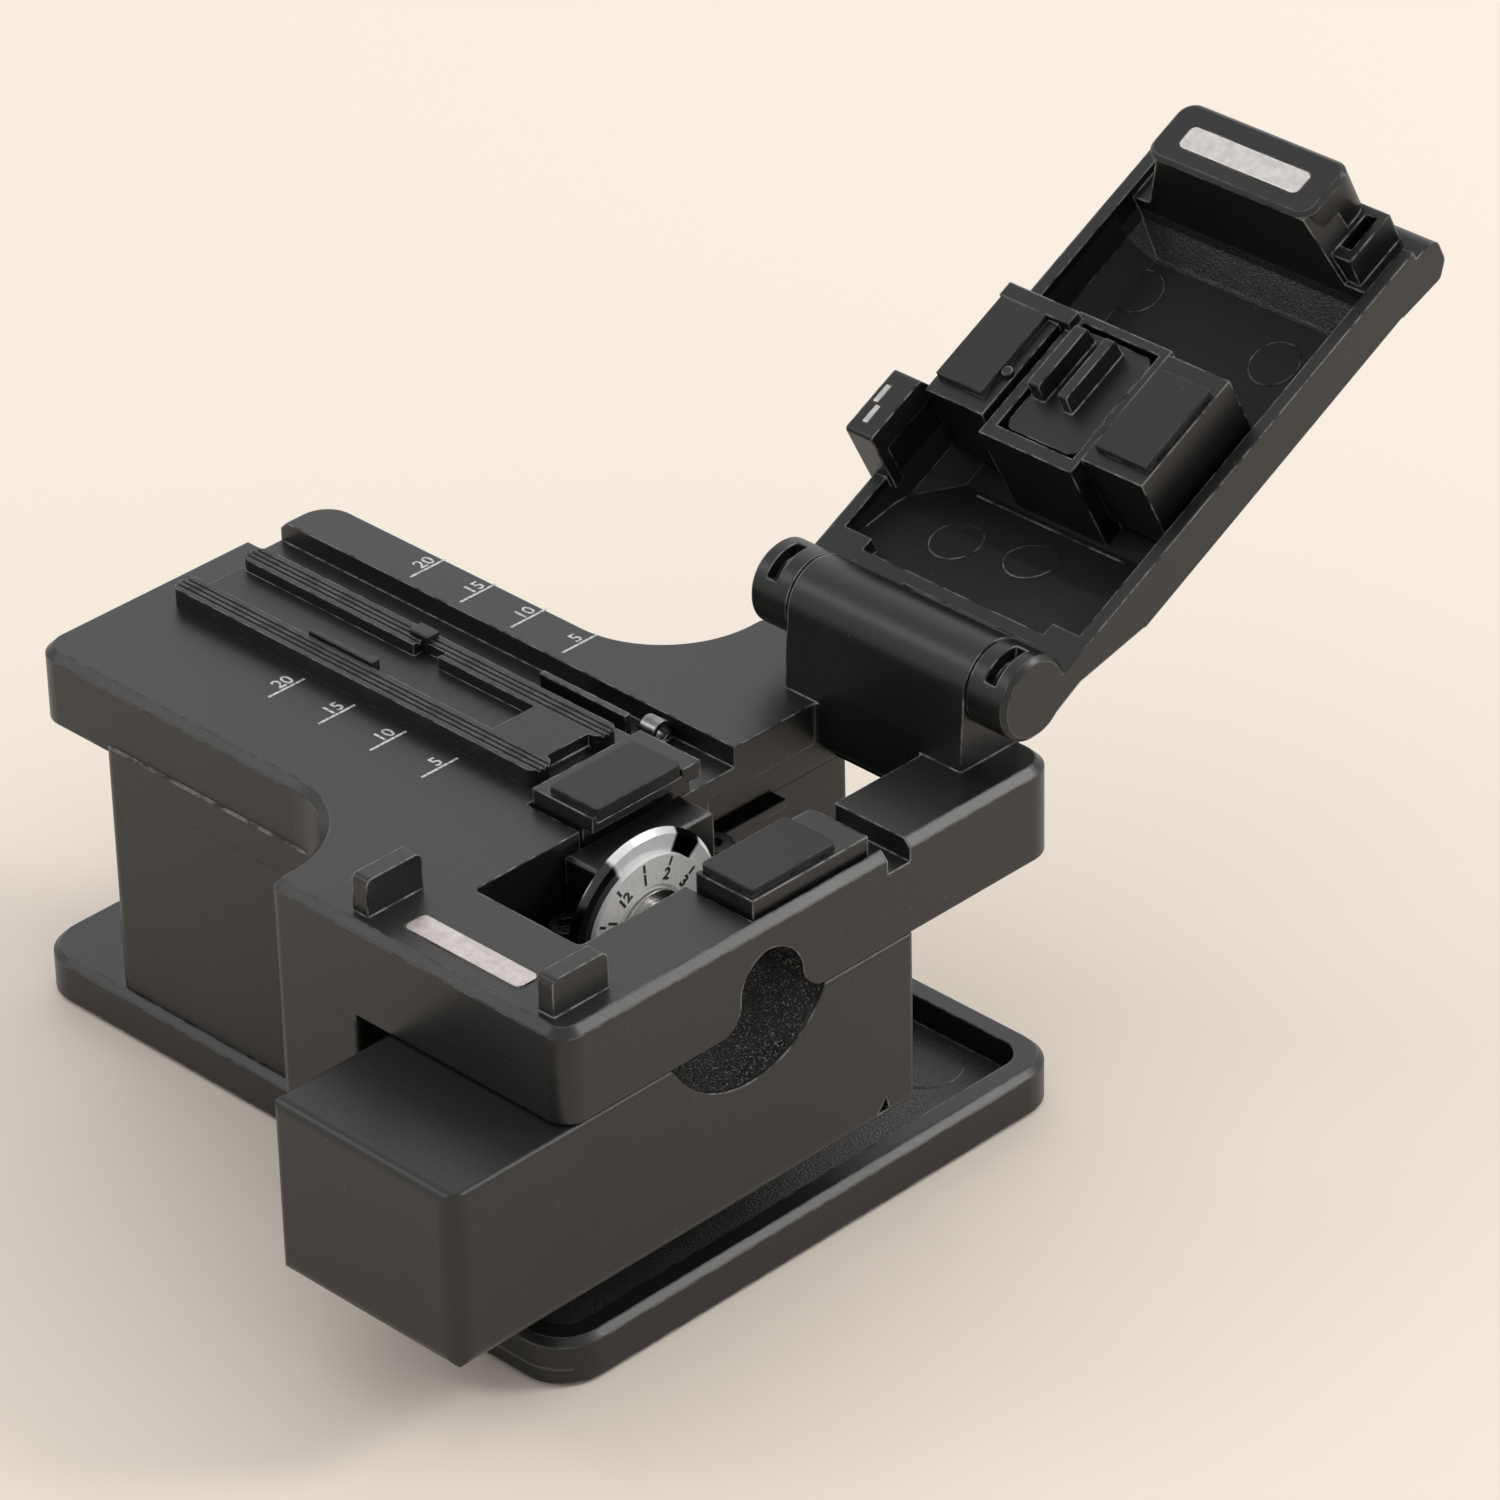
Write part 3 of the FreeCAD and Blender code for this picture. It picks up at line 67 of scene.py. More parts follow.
def make_camera():
    data = bpy.data.cameras.new("camera")
    data.sensor_width = SENSOR_MM
    data.sensor_fit = "HORIZONTAL"
    data.lens = LENS_MM
    data.clip_start = 0.01
    data.clip_end = 10.0
    camera = bpy.data.objects.new("camera", data)
    back = CAMERA_BACK.normalized()
    up = back.cross(CAMERA_RIGHT).normalized()
    right = up.cross(back).normalized()
    turn = Matrix((right, up, back)).transposed().to_4x4()
    camera.matrix_world = Matrix.Translation(CAMERA_AT) @ turn
    bpy.context.scene.collection.objects.link(camera)
    bpy.context.scene.camera = camera


# name, place, target, width, height, watts, colour
LAMPS = [
    ("behind", (-0.70, 0.70, 0.60), (0, 0, 0.02), 1.3, 0.9, 1.5, (1, 1, 1)),
    ("left", (-0.62, -0.50, 0.62), (0, 0, 0.03), 0.30, 0.22, 0.8, (1, 1, 1)),
    ("right", (0.55, 0.63, 0.64), (0.01, 0, 0.03), 0.28, 0.28, 3.2, (1.0, 0.98, 0.95)),
]
WORLD_STRENGTH = 0.8
FLOOR_SIZE = 3.0
FLOOR_COLOUR = (0.88, 0.79, 0.69, 1)
FLOOR_ROUGHNESS = 0.8


def softbox(name, place, target, width, height, watts, colour):
    data = bpy.data.lights.new(name, "AREA")
    data.shape = "RECTANGLE"
    data.size = width
    data.size_y = height
    data.energy = watts
    data.color = colour
    light = bpy.data.objects.new(name, data)
    aim = (Vector(target) - Vector(place)).normalized()
    light.matrix_world = Matrix.Translation(place) @ aim.to_track_quat("-Z", "Y").to_matrix().to_4x4()
    bpy.context.scene.collection.objects.link(light)


def make_lights():
    for lamp in LAMPS:
        softbox(*lamp)
    world = bpy.data.worlds.new("studio")
    bpy.context.scene.world = world
    world.use_nodes = True
    background = world.node_tree.nodes["Background"]
    background.inputs["Color"].default_value = (1, 1, 1, 1)
    background.inputs["Strength"].default_value = WORLD_STRENGTH


def make_floor():
    bpy.ops.mesh.primitive_plane_add(size=FLOOR_SIZE, location=(0, 0, 0))
    floor = bpy.context.object
    floor.name = "floor"
    surface, tree, shader = new_material("floor_paper")
    shader.inputs["Base Color"].default_value = FLOOR_COLOUR
    shader.inputs["Roughness"].default_value = FLOOR_ROUGHNESS
    floor.data.materials.append(surface)


# ---------------------------------------------------------------- materials
EDGE_SAMPLES = 6          # rays that round an edge's normal
EDGE_TURN = (0.76, 0.95)  # cosine between soft and true normal: full wear and painted highlight, and none
# patches of edge wear and painted highlight
WEAR_HIGHLIGHT_SCALE = 800.0
WEAR_HIGHLIGHT_PATCH = (0.40, 0.56)
DUST_GLINT_SCALE = 700.0
DUST_GLINT_SIZE = 0.032
DRIFT_SCALE = 60.0        # slow change of tone over the coat
GRAIN_SCALE = 4200.0      # fine grain of the coat
GRAIN_STRENGTH = 0.35
GRAIN_DEPTH = 0.00003
SAND_SCALE = 6000.0       # grain of as-cast surfaces
SAND_CREST = (0.55, 0.70)
SAND_GLOSS = -0.08        # change of roughness there
SAND_STRENGTH = 0.9
SAND_DEPTH = 0.00012
MATT_GLOSS = 0.35         # change of roughness on dull surfaces
METAL_SCALE = 1500.0      # grain of bare and plated metal
METAL_STRENGTH = 0.08
METAL_EDGE = 0.15 * MM    # radius to which its edges look rounded
DIAL_SCALE = 2500.0
DIAL_STRENGTH = 0.1
BLADE_SCALE = 1800.0
FINE_DEPTH = 0.00001      # relief of these grains
MARK_SCALE = 3500.0       # flecks in paint and ink
MARK_FLECK = (0.38, 0.56)


def new_material(name):
    """A material with its node tree and main shader."""
    material = bpy.data.materials.new(name)
    material.use_nodes = True
    return material, material.node_tree, material.node_tree.nodes["Principled BSDF"]


def link(tree, a, a_out, b, b_in):
    tree.links.new(a.outputs[a_out], b.inputs[b_in])


def noise(tree, scale, detail=3.0, rough=0.55):
    """Noise texture fixed to the object."""
    coords = tree.nodes.new("ShaderNodeTexCoord")
    texture = tree.nodes.new("ShaderNodeTexNoise")
    texture.inputs["Scale"].default_value = scale
    texture.inputs["Detail"].default_value = detail
    texture.inputs["Roughness"].default_value = rough
    link(tree, coords, "Object", texture, "Vector")
    return texture


def ramp(tree, source, out, stops):
    """Colour ramp; each stop is its place and colour."""
    node = tree.nodes.new("ShaderNodeValToRGB")
    elements = node.color_ramp.elements
    for place, colour in stops[2:]:
        elements.new(place)
    for element, (place, colour) in zip(elements, stops):
        element.position = place
        element.color = (*colour, 1)
    link(tree, source, out, node, "Fac")
    return node


def spread(tree, source, out, low, high):
    """Stretches 0 to 1 over low to high."""
    node = tree.nodes.new("ShaderNodeMapRange")
    node.inputs["To Min"].default_value = low
    node.inputs["To Max"].default_value = high
    link(tree, source, out, node, "Value")
    return node


def bump(tree, source, out, strength, distance):
    node = tree.nodes.new("ShaderNodeBump")
    node.inputs["Strength"].default_value = strength
    node.inputs["Distance"].default_value = distance
    link(tree, source, out, node, "Height")
    return node


def lid_coordinates(tree):
    """Texture coordinates of the lid: x, distance from the hinge axis, height above its plane."""
    coords = tree.nodes.new("ShaderNodeTexCoord")
    turn = tree.nodes.new("ShaderNodeMapping")
    turn.vector_type = "TEXTURE"
    turn.inputs["Location"].default_value = HINGE
    turn.inputs["Rotation"].default_value = (LID_OPEN, 0, 0)
    link(tree, coords, "Object", turn, "Vector")
    return turn.outputs["Vector"]


def lid_inner_faces(tree):
    """1 on the faces that look into the lid or stand upright in it, 0 on its outside."""
    coords = tree.nodes.new("ShaderNodeTexCoord")
    dot = tree.nodes.new("ShaderNodeVectorMath")
    dot.operation = "DOT_PRODUCT"
    link(tree, coords, "Normal", dot, 0)
    dot.inputs[1].default_value = (0, -math.sin(LID_OPEN), math.cos(LID_OPEN))
    return math_node(tree, "GREATER_THAN", dot.outputs["Value"], -0.05)


def math_node(tree, operation, first, second):
    """A math node; each input is a number or an output socket."""
    node = tree.nodes.new("ShaderNodeMath")
    node.operation = operation
    for place, value in enumerate((first, second)):
        if isinstance(value, (int, float)):
            node.inputs[place].default_value = value
        else:
            tree.links.new(value, node.inputs[place])
    return node.outputs["Value"]


def inside(tree, low, high, coords=None):
    """1 inside a box given in millimetres, 0 outside it."""
    if coords is None:
        coords = tree.nodes.new("ShaderNodeTexCoord").outputs["Object"]
    parts = tree.nodes.new("ShaderNodeSeparateXYZ")
    tree.links.new(coords, parts.inputs[0])
    mask = None
    for axis in range(3):
        above = math_node(tree, "GREATER_THAN", parts.outputs[axis], low[axis] * MM)
        below = math_node(tree, "LESS_THAN", parts.outputs[axis], high[axis] * MM)
        both = math_node(tree, "MULTIPLY", above, below)
        mask = both if mask is None else math_node(tree, "MULTIPLY", mask, both)
    return mask


def blend_colour(tree, factor, first, second):
    """Mixes two colours; each is a colour or an output socket."""
    mix = tree.nodes.new("ShaderNodeMix")
    mix.data_type = "RGBA"
    tree.links.new(factor, mix.inputs[0])
    for place, value in ((6, first), (7, second)):
        if isinstance(value, tuple):
            mix.inputs[place].default_value = (*value, 1)
        else:
            tree.links.new(value, mix.inputs[place])
    return mix.outputs[2]


def worn_and_highlit_edges(tree, radius, amount):
    """Soft normal of rounded edges, and a mask of where the coat has worn through on them and a painted
    highlight lies.
    """
    soft = tree.nodes.new("ShaderNodeBevel")
    soft.inputs["Radius"].default_value = radius
    soft.samples = EDGE_SAMPLES
    geometry = tree.nodes.new("ShaderNodeNewGeometry")
    dot = tree.nodes.new("ShaderNodeVectorMath")
    dot.operation = "DOT_PRODUCT"
    link(tree, soft, "Normal", dot, 0)
    link(tree, geometry, "Normal", dot, 1)
    edge = ramp(tree, dot, "Value", [(EDGE_TURN[0], (1, 1, 1)), (EDGE_TURN[1], (0, 0, 0))])
    patches = noise(tree, WEAR_HIGHLIGHT_SCALE, 4.0)
    some = ramp(tree, patches, "Fac", [(WEAR_HIGHLIGHT_PATCH[0], (0, 0, 0)), (WEAR_HIGHLIGHT_PATCH[1], (1, 1, 1))])
    mask = math_node(tree, "MULTIPLY", edge.outputs["Color"], some.outputs["Color"])
    return soft.outputs["Normal"], math_node(tree, "MULTIPLY", mask, amount)


def pushed(tree, height, normal, strength, distance):
    """Bump on top of another normal; height and normal are output sockets."""
    relief = tree.nodes.new("ShaderNodeBump")
    relief.inputs["Strength"].default_value = strength
    relief.inputs["Distance"].default_value = distance
    tree.links.new(height, relief.inputs["Height"])
    tree.links.new(normal, relief.inputs["Normal"])
    return relief.outputs["Normal"]


def specks(tree):
    """Sparse fine light specks: dust, and painted glints."""
    coords = tree.nodes.new("ShaderNodeTexCoord")
    cells = tree.nodes.new("ShaderNodeTexVoronoi")
    cells.inputs["Scale"].default_value = DUST_GLINT_SCALE
    link(tree, coords, "Object", cells, "Vector")
    return math_node(tree, "LESS_THAN", cells.outputs["Distance"], DUST_GLINT_SIZE)


def coated(name, dark, light, rough=(0.30, 0.42), edge=0.26 * MM, wear_and_highlight=0.9, coarse=(), matt=(), unworn=(),
           in_lid=False):
    """Satin black coat on metal: fine grain, slow drift, worn edges with a painted highlight, dust with
    painted glints, and as-cast patches with painted light.

    edge is the radius to which edges look rounded, and wear_and_highlight how far the coat is gone there and
    how strong the painted highlight on them is. coarse, matt and unworn list boxes, in millimetres. In
    coarse ones, each with its two tones, the surface is rough from the mould and its lighter tones are
    painted light; in matt ones it is dull, and in unworn ones the edges keep their coat and carry no painted
    highlight. With in_lid the boxes are in the lid's own coordinates and reach only its inner faces."""
    material, tree, shader = new_material(name)
    drift = noise(tree, DRIFT_SCALE, 4.0)
    colour = ramp(tree, drift, "Fac", [(0.3, dark), (0.75, light)]).outputs["Color"]
    fine = noise(tree, GRAIN_SCALE, 2.0).outputs["Fac"]
    normal, worn = worn_and_highlit_edges(tree, edge, wear_and_highlight)
    gloss = spread(tree, drift, "Fac", rough[0], rough[1]).outputs["Result"]
    coords = lid_coordinates(tree) if in_lid else None
    facing = lid_inner_faces(tree) if in_lid else 1.0
    for low, high, pit, crest in coarse:
        mask = math_node(tree, "MULTIPLY", inside(tree, low, high, coords), facing)
        sand = noise(tree, SAND_SCALE, 2.0, 0.7)
        sparkle = ramp(tree, sand, "Fac", [(SAND_CREST[0], (0, 0, 0)), (SAND_CREST[1], (1, 1, 1))])
        # grain tones of a coarse box; the lighter ones are painted light
        grain_and_painted_light = blend_colour(tree, sparkle.outputs["Color"], pit, crest)
        colour = blend_colour(tree, mask, colour, grain_and_painted_light)
        gloss = math_node(tree, "ADD", gloss, math_node(tree, "MULTIPLY", mask, SAND_GLOSS))
        rise = math_node(tree, "MULTIPLY", sand.outputs["Fac"], mask)
        normal = pushed(tree, rise, normal, SAND_STRENGTH, SAND_DEPTH)
    for low, high in matt:
        mask = math_node(tree, "MULTIPLY", inside(tree, low, high, coords), facing)
        gloss = math_node(tree, "ADD", gloss, math_node(tree, "MULTIPLY", mask, MATT_GLOSS))
    for low, high in unworn:
        kept = math_node(tree, "SUBTRACT", 1.0, inside(tree, low, high, coords))
        worn = math_node(tree, "MULTIPLY", worn, kept)
    # worn metal and a painted highlight on the edges
    colour = blend_colour(tree, worn, colour, WORN_AND_HIGHLIGHT)
    # light specks of dust and painted glints
    colour = blend_colour(tree, specks(tree), colour, DUST_AND_GLINT)
    tree.links.new(colour, shader.inputs["Base Color"])
    tree.links.new(gloss, shader.inputs["Roughness"])
    grained = pushed(tree, fine, normal, GRAIN_STRENGTH, GRAIN_DEPTH)
    tree.links.new(grained, shader.inputs["Normal"])
    return material


def metal(name, dark, light, rough=(0.2, 0.32)):
    """Bare or plated metal with a fine grain and rounded edges."""
    material, tree, shader = new_material(name)
    texture = noise(tree, METAL_SCALE, 3.0, 0.5)
    colour = ramp(tree, texture, "Fac", [(0.3, dark), (0.7, light)])
    link(tree, colour, "Color", shader, "Base Color")
    gloss = spread(tree, texture, "Fac", rough[0], rough[1])
    link(tree, gloss, "Result", shader, "Roughness")
    shader.inputs["Metallic"].default_value = 1.0
    round_normal = tree.nodes.new("ShaderNodeBevel")
    round_normal.inputs["Radius"].default_value = METAL_EDGE
    round_normal.samples = EDGE_SAMPLES
    relief = bump(tree, texture, "Fac", METAL_STRENGTH, FINE_DEPTH)
    link(tree, round_normal, "Normal", relief, "Normal")
    link(tree, relief, "Normal", shader, "Normal")
    return material


def mark_paint(name, dark, light):
    """Thin, slightly broken paint or engraving."""
    material, tree, shader = new_material(name)
    fleck = noise(tree, MARK_SCALE, 2.0)
    colour = ramp(tree, fleck, "Fac", [(MARK_FLECK[0], dark), (MARK_FLECK[1], light)])
    link(tree, colour, "Color", shader, "Base Color")
    shader.inputs["Roughness"].default_value = 0.5
    return material


def dress(material, *names):
    """Gives CAD nodes a material."""
    for name in names:
        mesh = NODES[name].data
        mesh.materials.clear()
        mesh.materials.append(material)


def dial_face():
    """Satin silver with a fine grain."""
    material, tree, shader = new_material("dial_silver")
    fleck = noise(tree, DIAL_SCALE, 3.0)
    colour = ramp(tree, fleck, "Fac", [(0.3, (0.78, 0.78, 0.78)), (0.7, (0.88, 0.88, 0.87))])
    link(tree, colour, "Color", shader, "Base Color")
    shader.inputs["Metallic"].default_value = 0.1
    gloss = spread(tree, fleck, "Fac", 0.35, 0.5)
    link(tree, gloss, "Result", shader, "Roughness")
    relief = bump(tree, fleck, "Fac", DIAL_STRENGTH, FINE_DEPTH)
    link(tree, relief, "Normal", shader, "Normal")
    return material


# Sectors of the blade with a painted reflection, as shares of a turn about +X that starts at -Y: 1 marks a
# light sector standing in for a bright reflection, 0 a dark mirror
PAINTED_REFLECTION_SECTORS = [(0.538, 0), (0.545, 1), (0.607, 1), (0.613, 0), (0.668, 0), (0.675, 1), (0.816, 1), (0.823, 0)]


def blade_face():
    """Polished carbide with a painted reflection: light diffuse sectors stand in for bright reflections, the
    others are dark mirrors standing in for dark ones.
    """
    material, tree, shader = new_material("blade_painted_reflection")
    low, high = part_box("blade_disc")
    middle = (low + high) / 2
    parts = tree.nodes.new("ShaderNodeSeparateXYZ")
    link(tree, tree.nodes.new("ShaderNodeTexCoord"), "Object", parts, "Vector")
    up = math_node(tree, "SUBTRACT", parts.outputs["Z"], middle.z)
    along = math_node(tree, "SUBTRACT", parts.outputs["Y"], middle.y)
    angle = math_node(tree, "ARCTAN2", up, along)
    node = tree.nodes.new("ShaderNodeMapRange")
    node.inputs["From Min"].default_value = -math.pi
    node.inputs["From Max"].default_value = math.pi
    tree.links.new(angle, node.inputs["Value"])
    painted_reflection = ramp(tree, node, "Result", [(place, (on, on, on)) for place, on in PAINTED_REFLECTION_SECTORS])
    fleck = noise(tree, BLADE_SCALE, 3.0)
    bright = ramp(tree, fleck, "Fac", [(0.3, (0.80, 0.80, 0.80)), (0.7, (0.88, 0.88, 0.87))])
    # painted reflection: the dark colour under full metal stands in for dark reflections, the light flecked
    # one for bright reflections
    colour = blend_colour(tree, painted_reflection.outputs["Color"], (0.06, 0.058, 0.055), bright.outputs["Color"])
    tree.links.new(colour, shader.inputs["Base Color"])
    metallic = spread(tree, painted_reflection, "Color", 1.0, 0.15)
    link(tree, metallic, "Result", shader, "Metallic")
    shader.inputs["Roughness"].default_value = 0.16
    return material


def dress_nodes():
    """Dresses every CAD node; returns the coats of the lid, the body and the guide."""
    # the scoop's grain has light crests painted as glints
    scoop = ((24.9, -15.0, 14.0), (31.3, 1.5, 26.5), CAST_DARK, CAST_CREST_GLINT)
    # the tray floor's lighter tones are painted light against the shade under its rim
    tray = ((11.0, -30.0, TRAY_FLOOR - 0.1), (30.4, 23.5, TRAY_FLOOR + 0.1), TRAY_DARK, TRAY_LIGHT)
    seam = ((-40.0, -40.0, 19.9), (40.0, 70.0, 21.4))
    satin = coated("satin_black", (0.0065, 0.0064, 0.0062), (0.012, 0.0118, 0.0114), coarse=[scoop, tray],
                  unworn=[seam])
    dress(satin, "base_plate", "lower_body", "deck", "slider")
    # the end slope's lighter tones are painted light on this facet
    slope = ((9.0, 35.8, -5.4), (31.5, 37.85, -2.3), SLOPE_DARK, SLOPE_LIGHT)
    lid = coated("lid_black", (0.004, 0.004, 0.004), (0.008, 0.008, 0.0078), coarse=[slope],
                 matt=[((9.4, 3.9, -5.6), (31.0, 35.8, -1.2))], in_lid=True)
    dress(lid, "lid_shell")
    dark = coated("clamp_black", (0.004, 0.004, 0.004), (0.008, 0.008, 0.008))
    dress(dark, "left_clamp_block", "right_clamp_block", "blade_holder", "anvil_block", "bend_anvil")
    moulded = coated("guide_black", (0.004, 0.004, 0.004), (0.008, 0.008, 0.008), rough=(0.34, 0.5),
                     edge=0.14 * MM)
    dress(moulded, "fibre_guide")
    rubber = coated("pad_rubber", (0.008, 0.008, 0.008), (0.015, 0.015, 0.015), rough=(0.5, 0.65), wear_and_highlight=0.15)
    dress(rubber, "left_clamp_pad", "right_clamp_pad", "lid_left_pad", "lid_right_pad")
    foot = coated("foot_rubber", (0.012, 0.012, 0.012), (0.02, 0.02, 0.02), rough=(0.7, 0.85), wear_and_highlight=0.05)
    dress(foot, "base_mat")
    nickel = metal("magnet_nickel", (0.47, 0.43, 0.41), (0.63, 0.585, 0.565), rough=(0.28, 0.45))
    dress(nickel, "deck_magnet")
    bright = metal("magnet_bright", (0.64, 0.60, 0.58), (0.80, 0.76, 0.74), rough=(0.28, 0.45))
    dress(bright, "lid_magnet")
    oxide = metal("black_oxide", (0.05, 0.05, 0.05), (0.10, 0.10, 0.10), rough=(0.32, 0.45))
    dress(oxide, "case_screws", "guide_screws", "rail_screws", "carriage_screws", "holder_screws",
          "anvil_screws")
    sprung = metal("spring_steel", (0.16, 0.155, 0.15), (0.30, 0.295, 0.29), rough=(0.22, 0.36))
    dress(sprung, "channel_clip", "anvil_spring")
    steel = metal("ground_steel", (0.50, 0.49, 0.47), (0.66, 0.65, 0.63))
    dress(steel, "linear_rail", "rail_carriage", "rail_stops", "hinge_pin", "arm_inserts", "blade_washer",
          "blade_hub", "blade_screw")
    dress(blade_face(), "blade_disc")
    dress(dial_face(), "blade_dial")
    return lid, satin, moulded


# ---------------------------------------------------------------- marks and small mouldings
MARK_T = 0.02 * MM       # thickness of a printed or engraved mark
SINK = 0.005 * MM        # how far a mark reaches into its surface

SCALE_ROWS = [(2.6 * MM, -6.35 * MM), (-2.05 * MM, 11.1 * MM)]  # first line of each row
SCALE_STEPS = 4
SCALE_STEP_MM = 5
SCALE_LINE_W = 0.2 * MM
SCALE_LINE_L = 3.3 * MM
SCALE_DIGIT_H = 1.5 * MM
SCALE_BOLD = 0.02 * MM
SCALE_BESIDE = (-0.72 * MM, 0.35 * MM)  # from a line to its number

DIAL_STEPS = 12
DIAL_FIRST = 94.5        # degrees from +Y towards +Z
DIAL_DASH_R = 4.72 * MM
DIAL_DASH_L = 0.62 * MM
DIAL_DASH_W = 0.2 * MM
DIAL_DIGIT_R = 3.8 * MM
DIAL_DIGIT_H = 1.15 * MM
DIAL_BOLD = 0.045 * MM

# outline, foot, top and rounding of the mouldings on the fibre guide, in millimetres
GUIDE_POST = ([(-9.85, 2.6), (-8.05, 2.6), (-8.05, 3.82), (-9.85, 3.82)], 28.43, 29.8, 0.14)
GUIDE_LEAF = ([(-14.9, -1.95), (-8.6, -1.95), (-8.6, -1.2), (-9.5, -1.2), (-9.5, -1.55), (-14.9, -1.55)],
              28.43, 29.6, 0.08)

# in the base, in millimetres
TRAY_EJECTOR = (22.8, 18.4)
TRAY_EJECTOR_R = 2.85
TRAY_EJECTOR_H = 0.07

# in the lid, in millimetres; along is the distance from the hinge axis, height is above its plane
FLOOR_PROFILE = [(4.0, -1.37), (10.0, -3.0), (14.4, -5.2), (40.0, -5.2)]  # along and height
LID_EJECTORS = [(15.9, 9.2), (21.6, 10.4), (12.0, 33.2), (25.2, 32.2)]    # x and along
LID_EJECTOR_R = 1.9
LID_EJECTOR_H = 0.05
PIN_AT = (14.97, 19.25, 3.2)  # x, along and height
PIN_R = 0.42
PIN_H = 0.45
RIDGE_X = 19.85
RIDGE_ALONG = 13.9
RIDGE_L = 13.7
RIDGE_W = 0.16


def text_into(mesh, words, size, place, bold):
    """Adds a line of numerals to a bmesh; place puts the type's own axes on the object."""
    curve = bpy.data.curves.new("numeral", "FONT")
    curve.body = words
    curve.size = size
    curve.align_x = "CENTER"
    curve.align_y = "CENTER"
    curve.extrude = MARK_T / 2
    curve.offset = bold
    curve.resolution_u = 3
    writing = bpy.data.objects.new("numeral", curve)
    bpy.context.scene.collection.objects.link(writing)
    bpy.context.view_layer.update()
    ready = writing.evaluated_get(bpy.context.evaluated_depsgraph_get())
    outline = bpy.data.meshes.new_from_object(ready)
    outline.transform(place)
    mesh.from_mesh(outline)
    bpy.data.objects.remove(writing)
    bpy.data.curves.remove(curve)
    bpy.data.meshes.remove(outline)


def bar_into(mesh, length, width, place):
    """Adds a thin bar, long in its own y, to a bmesh."""
    made = bmesh.ops.create_cube(mesh, size=1.0)
    shape = Matrix.Diagonal((width, length, MARK_T, 1))
    bmesh.ops.transform(mesh, matrix=place @ shape, verts=made["verts"])


def finish_piece(mesh, name, material, body):
    """Turns a bmesh into a piece that rides a body."""
    data = bpy.data.meshes.new(name)
    mesh.to_mesh(data)
    mesh.free()
    piece = bpy.data.objects.new(name, data)
    bpy.context.scene.collection.objects.link(piece)
    data.materials.append(material)
    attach(piece, body)


def turned(right, up, out, place):
    """Matrix whose x, y and z axes are right, up and out, at a place."""
    return Matrix.Translation(place) @ Matrix((right, up, out)).transposed().to_4x4()


def scale_marks():
    """Length scale on both sides of the guide: a line every 5 mm, its number read from the end."""
    top = STAGE_TOP + MARK_T / 2 - SINK
    mesh = bmesh.new()
    for first, y in SCALE_ROWS:
        for step in range(SCALE_STEPS):
            x = first - step * SCALE_STEP_MM * MM
            bar_into(mesh, SCALE_LINE_L, SCALE_LINE_W, Matrix.Translation((x, y, top)))
            beside = Vector((x + SCALE_BESIDE[0], y + SCALE_BESIDE[1], top))
            place = turned((0, 1, 0), (-1, 0, 0), (0, 0, 1), beside)
            text_into(mesh, str(SCALE_STEP_MM * (step + 1)), SCALE_DIGIT_H, place, SCALE_BOLD)
    paint = mark_paint("scale_paint", (0.30, 0.30, 0.30), (0.62, 0.62, 0.61))
    finish_piece(mesh, "scale_marks", paint, "base")


def dial_marks():
    """Twelve numbered blade positions on the dial's face."""
    low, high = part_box("blade_dial")
    centre = (low + high) / 2
    middle = Vector((high.x + MARK_T / 2 - SINK, centre.y, centre.z))
    mesh = bmesh.new()
    for number in range(DIAL_STEPS):
        angle = math.radians(DIAL_FIRST - 360.0 / DIAL_STEPS * number)
        outward = Vector((0, math.cos(angle), math.sin(angle)))
        across = Vector((0, math.sin(angle), -math.cos(angle)))
        dash = turned(across, outward, (1, 0, 0), middle + outward * DIAL_DASH_R)
        bar_into(mesh, DIAL_DASH_L, DIAL_DASH_W, dash)
        digit = turned(across, outward, (1, 0, 0), middle + outward * DIAL_DIGIT_R)
        text_into(mesh, str(number + 1), DIAL_DIGIT_H, digit, DIAL_BOLD)
    ink = mark_paint("dial_ink", (0.012, 0.012, 0.012), (0.04, 0.04, 0.04))
    finish_piece(mesh, "dial_marks", ink, "blade")


def disc_into(mesh, radius, height, place):
    """Adds a round pad with a bevelled rim to a bmesh, from height below its place to height above."""
    rings = [(radius, -height), (radius, height * 0.5), (radius * 0.95, height), (0.0, height)]
    turns = 48
    last = None
    for r, z in rings:
        if r == 0:
            ring = [mesh.verts.new(place @ Vector((0, 0, z)))]
        else:
            ring = []
            for turn in range(turns):
                angle = 2 * math.pi * turn / turns
                ring.append(mesh.verts.new(place @ Vector((r * math.cos(angle), r * math.sin(angle), z))))
        if last:
            for i in range(turns):
                j = (i + 1) % turns
                if len(ring) == 1:
                    mesh.faces.new((last[i], last[j], ring[0]))
                else:
                    mesh.faces.new((last[i], last[j], ring[j], ring[i]))
        else:
            mesh.faces.new(list(reversed(ring)))
        last = ring


def moulding(name, outline, low, high, rounding, material, body, slot):
    """Small bevelled prism that stands on a flat outline, all in millimetres."""
    mesh = bmesh.new()
    foot = [mesh.verts.new((x * MM, y * MM, low * MM)) for x, y in outline]
    base = mesh.faces.new(foot)
    raised = bmesh.ops.extrude_face_region(mesh, geom=[base])
    lifted = [v for v in raised["geom"] if isinstance(v, bmesh.types.BMVert)]
    bmesh.ops.translate(mesh, verts=lifted, vec=(0, 0, (high - low) * MM))
    bmesh.ops.recalc_face_normals(mesh, faces=mesh.faces)
    bmesh.ops.bevel(mesh, geom=list(mesh.edges), offset=rounding * MM, segments=3, affect="EDGES",
                    profile=0.5)
    finish_piece(mesh, name, material, body)


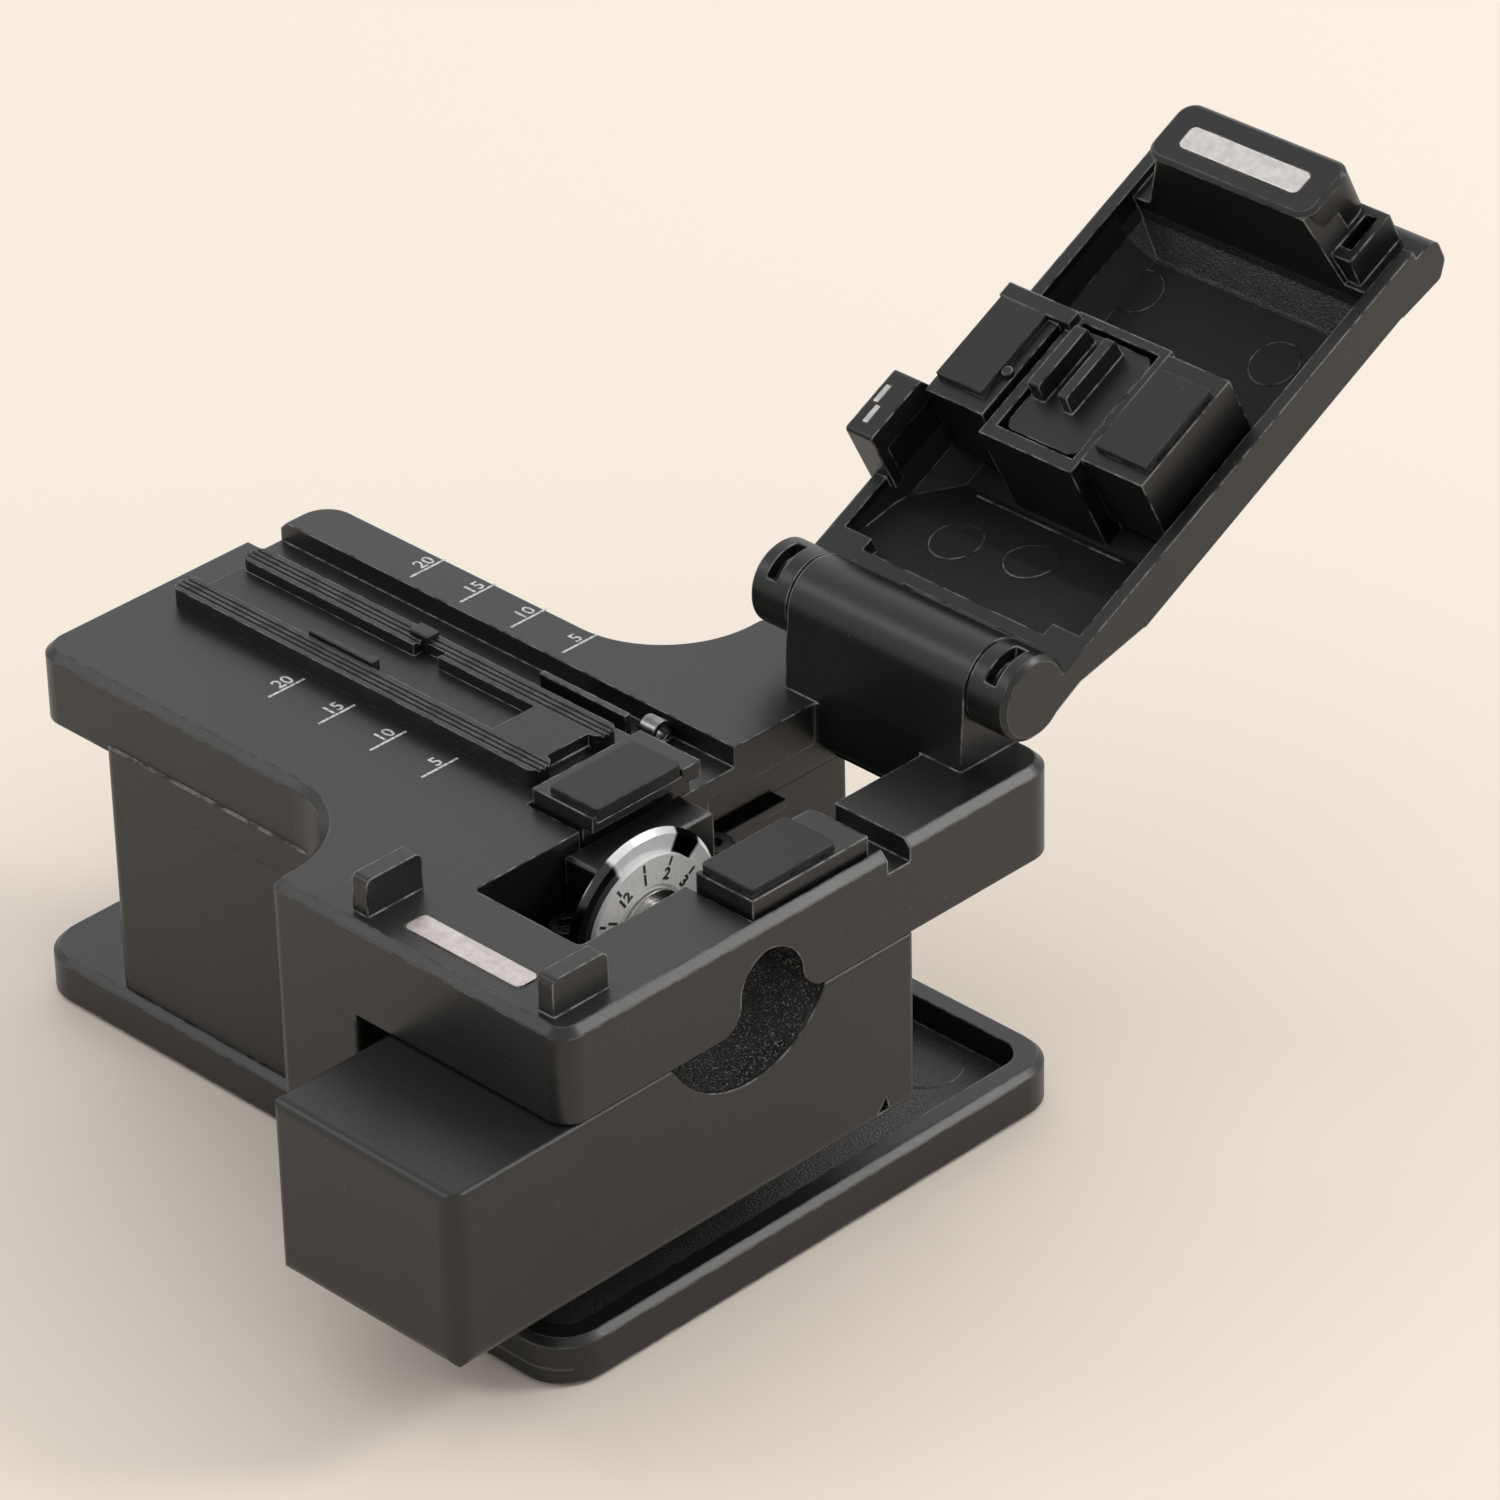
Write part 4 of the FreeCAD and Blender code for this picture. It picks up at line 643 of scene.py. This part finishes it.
def guide_mouldings(material):
    """Post on the guide's rear rail and the leaf beside its front rail."""
    moulding("guide_post", *GUIDE_POST, material, "base", "black_plastic")
    moulding("guide_leaf", *GUIDE_LEAF, material, "base", "black_plastic")


def floor_height(along):
    """Height of the lid's floor at a distance from the hinge axis, both in millimetres."""
    for (near, top), (far, foot) in zip(FLOOR_PROFILE, FLOOR_PROFILE[1:]):
        if along <= far:
            return top + (foot - top) * (along - near) / (far - near)
    return FLOOR_PROFILE[-1][1]


def draped_disc(mesh, x, along, radius, height):
    """Adds a low round pad that follows the lid's floor to a bmesh, in millimetres."""
    rings = 6
    turns = 40

    def point(r, turn, lift):
        angle = 2 * math.pi * turn / turns
        across = x + r * math.cos(angle)
        away = along + r * math.sin(angle)
        return mesh.verts.new(LID_SWING @ (Vector((across, away, floor_height(away) + lift)) * MM))

    sheets = []
    for lift in (height, -height):
        sheet = [[point(radius * ring / rings, turn, lift) for turn in range(turns)]
                 for ring in range(1, rings + 1)]
        middle = point(0.0, 0, lift)
        for turn in range(turns):
            after = (turn + 1) % turns
            mesh.faces.new((middle, sheet[0][turn], sheet[0][after]))
            for inner, outer in zip(sheet, sheet[1:]):
                mesh.faces.new((inner[turn], outer[turn], outer[after], inner[after]))
        sheets.append(sheet[-1])
    top, foot = sheets
    for turn in range(turns):
        after = (turn + 1) % turns
        mesh.faces.new((top[turn], foot[turn], foot[after], top[after]))
    bmesh.ops.recalc_face_normals(mesh, faces=mesh.faces)


def mould_marks(lid_coat, body_coat):
    """Round marks of the ejector pins on the lid's floor and on the base tray."""
    mesh = bmesh.new()
    for x, along in LID_EJECTORS:
        draped_disc(mesh, x, along, LID_EJECTOR_R, LID_EJECTOR_H)
    finish_piece(mesh, "lid_ejector_marks", lid_coat, "lid")
    mesh = bmesh.new()
    place = Matrix.Translation(Vector((*TRAY_EJECTOR, TRAY_FLOOR)) * MM)
    disc_into(mesh, TRAY_EJECTOR_R * MM, TRAY_EJECTOR_H * MM, place)
    finish_piece(mesh, "tray_ejector_mark", body_coat, "base")


def anvil_pin(material):
    """Small stop pin beside the left pad of the anvil block."""
    mesh = bmesh.new()
    disc_into(mesh, PIN_R * MM, PIN_H * MM, LID_SWING @ Matrix.Translation(Vector(PIN_AT) * MM))
    finish_piece(mesh, "anvil_pin", material, "lid")


def floor_ridge(material):
    """Thin ridge across the lid's floor, at the foot of its slope; its edges carry a painted highlight line.
    """
    middle = Vector((RIDGE_X, RIDGE_ALONG, floor_height(RIDGE_ALONG))) * MM
    shape = Matrix.Diagonal((RIDGE_L * MM, RIDGE_W * MM, RIDGE_W * MM, 1))
    mesh = bmesh.new()
    made = bmesh.ops.create_cube(mesh, size=1.0)
    bmesh.ops.transform(mesh, matrix=LID_SWING @ Matrix.Translation(middle) @ shape, verts=made["verts"])
    finish_piece(mesh, "floor_ridge", material, "lid")


make_camera()
make_lights()
make_floor()
bpy.context.scene.view_settings.view_transform = "Standard"
coat_of_lid, coat_of_body, coat_of_guide = dress_nodes()
guide_mouldings(coat_of_guide)
scale_marks()
dial_marks()
mould_marks(coat_of_lid, coat_of_body)
anvil_pin(coat_of_lid)
floor_ridge(coat_of_lid)
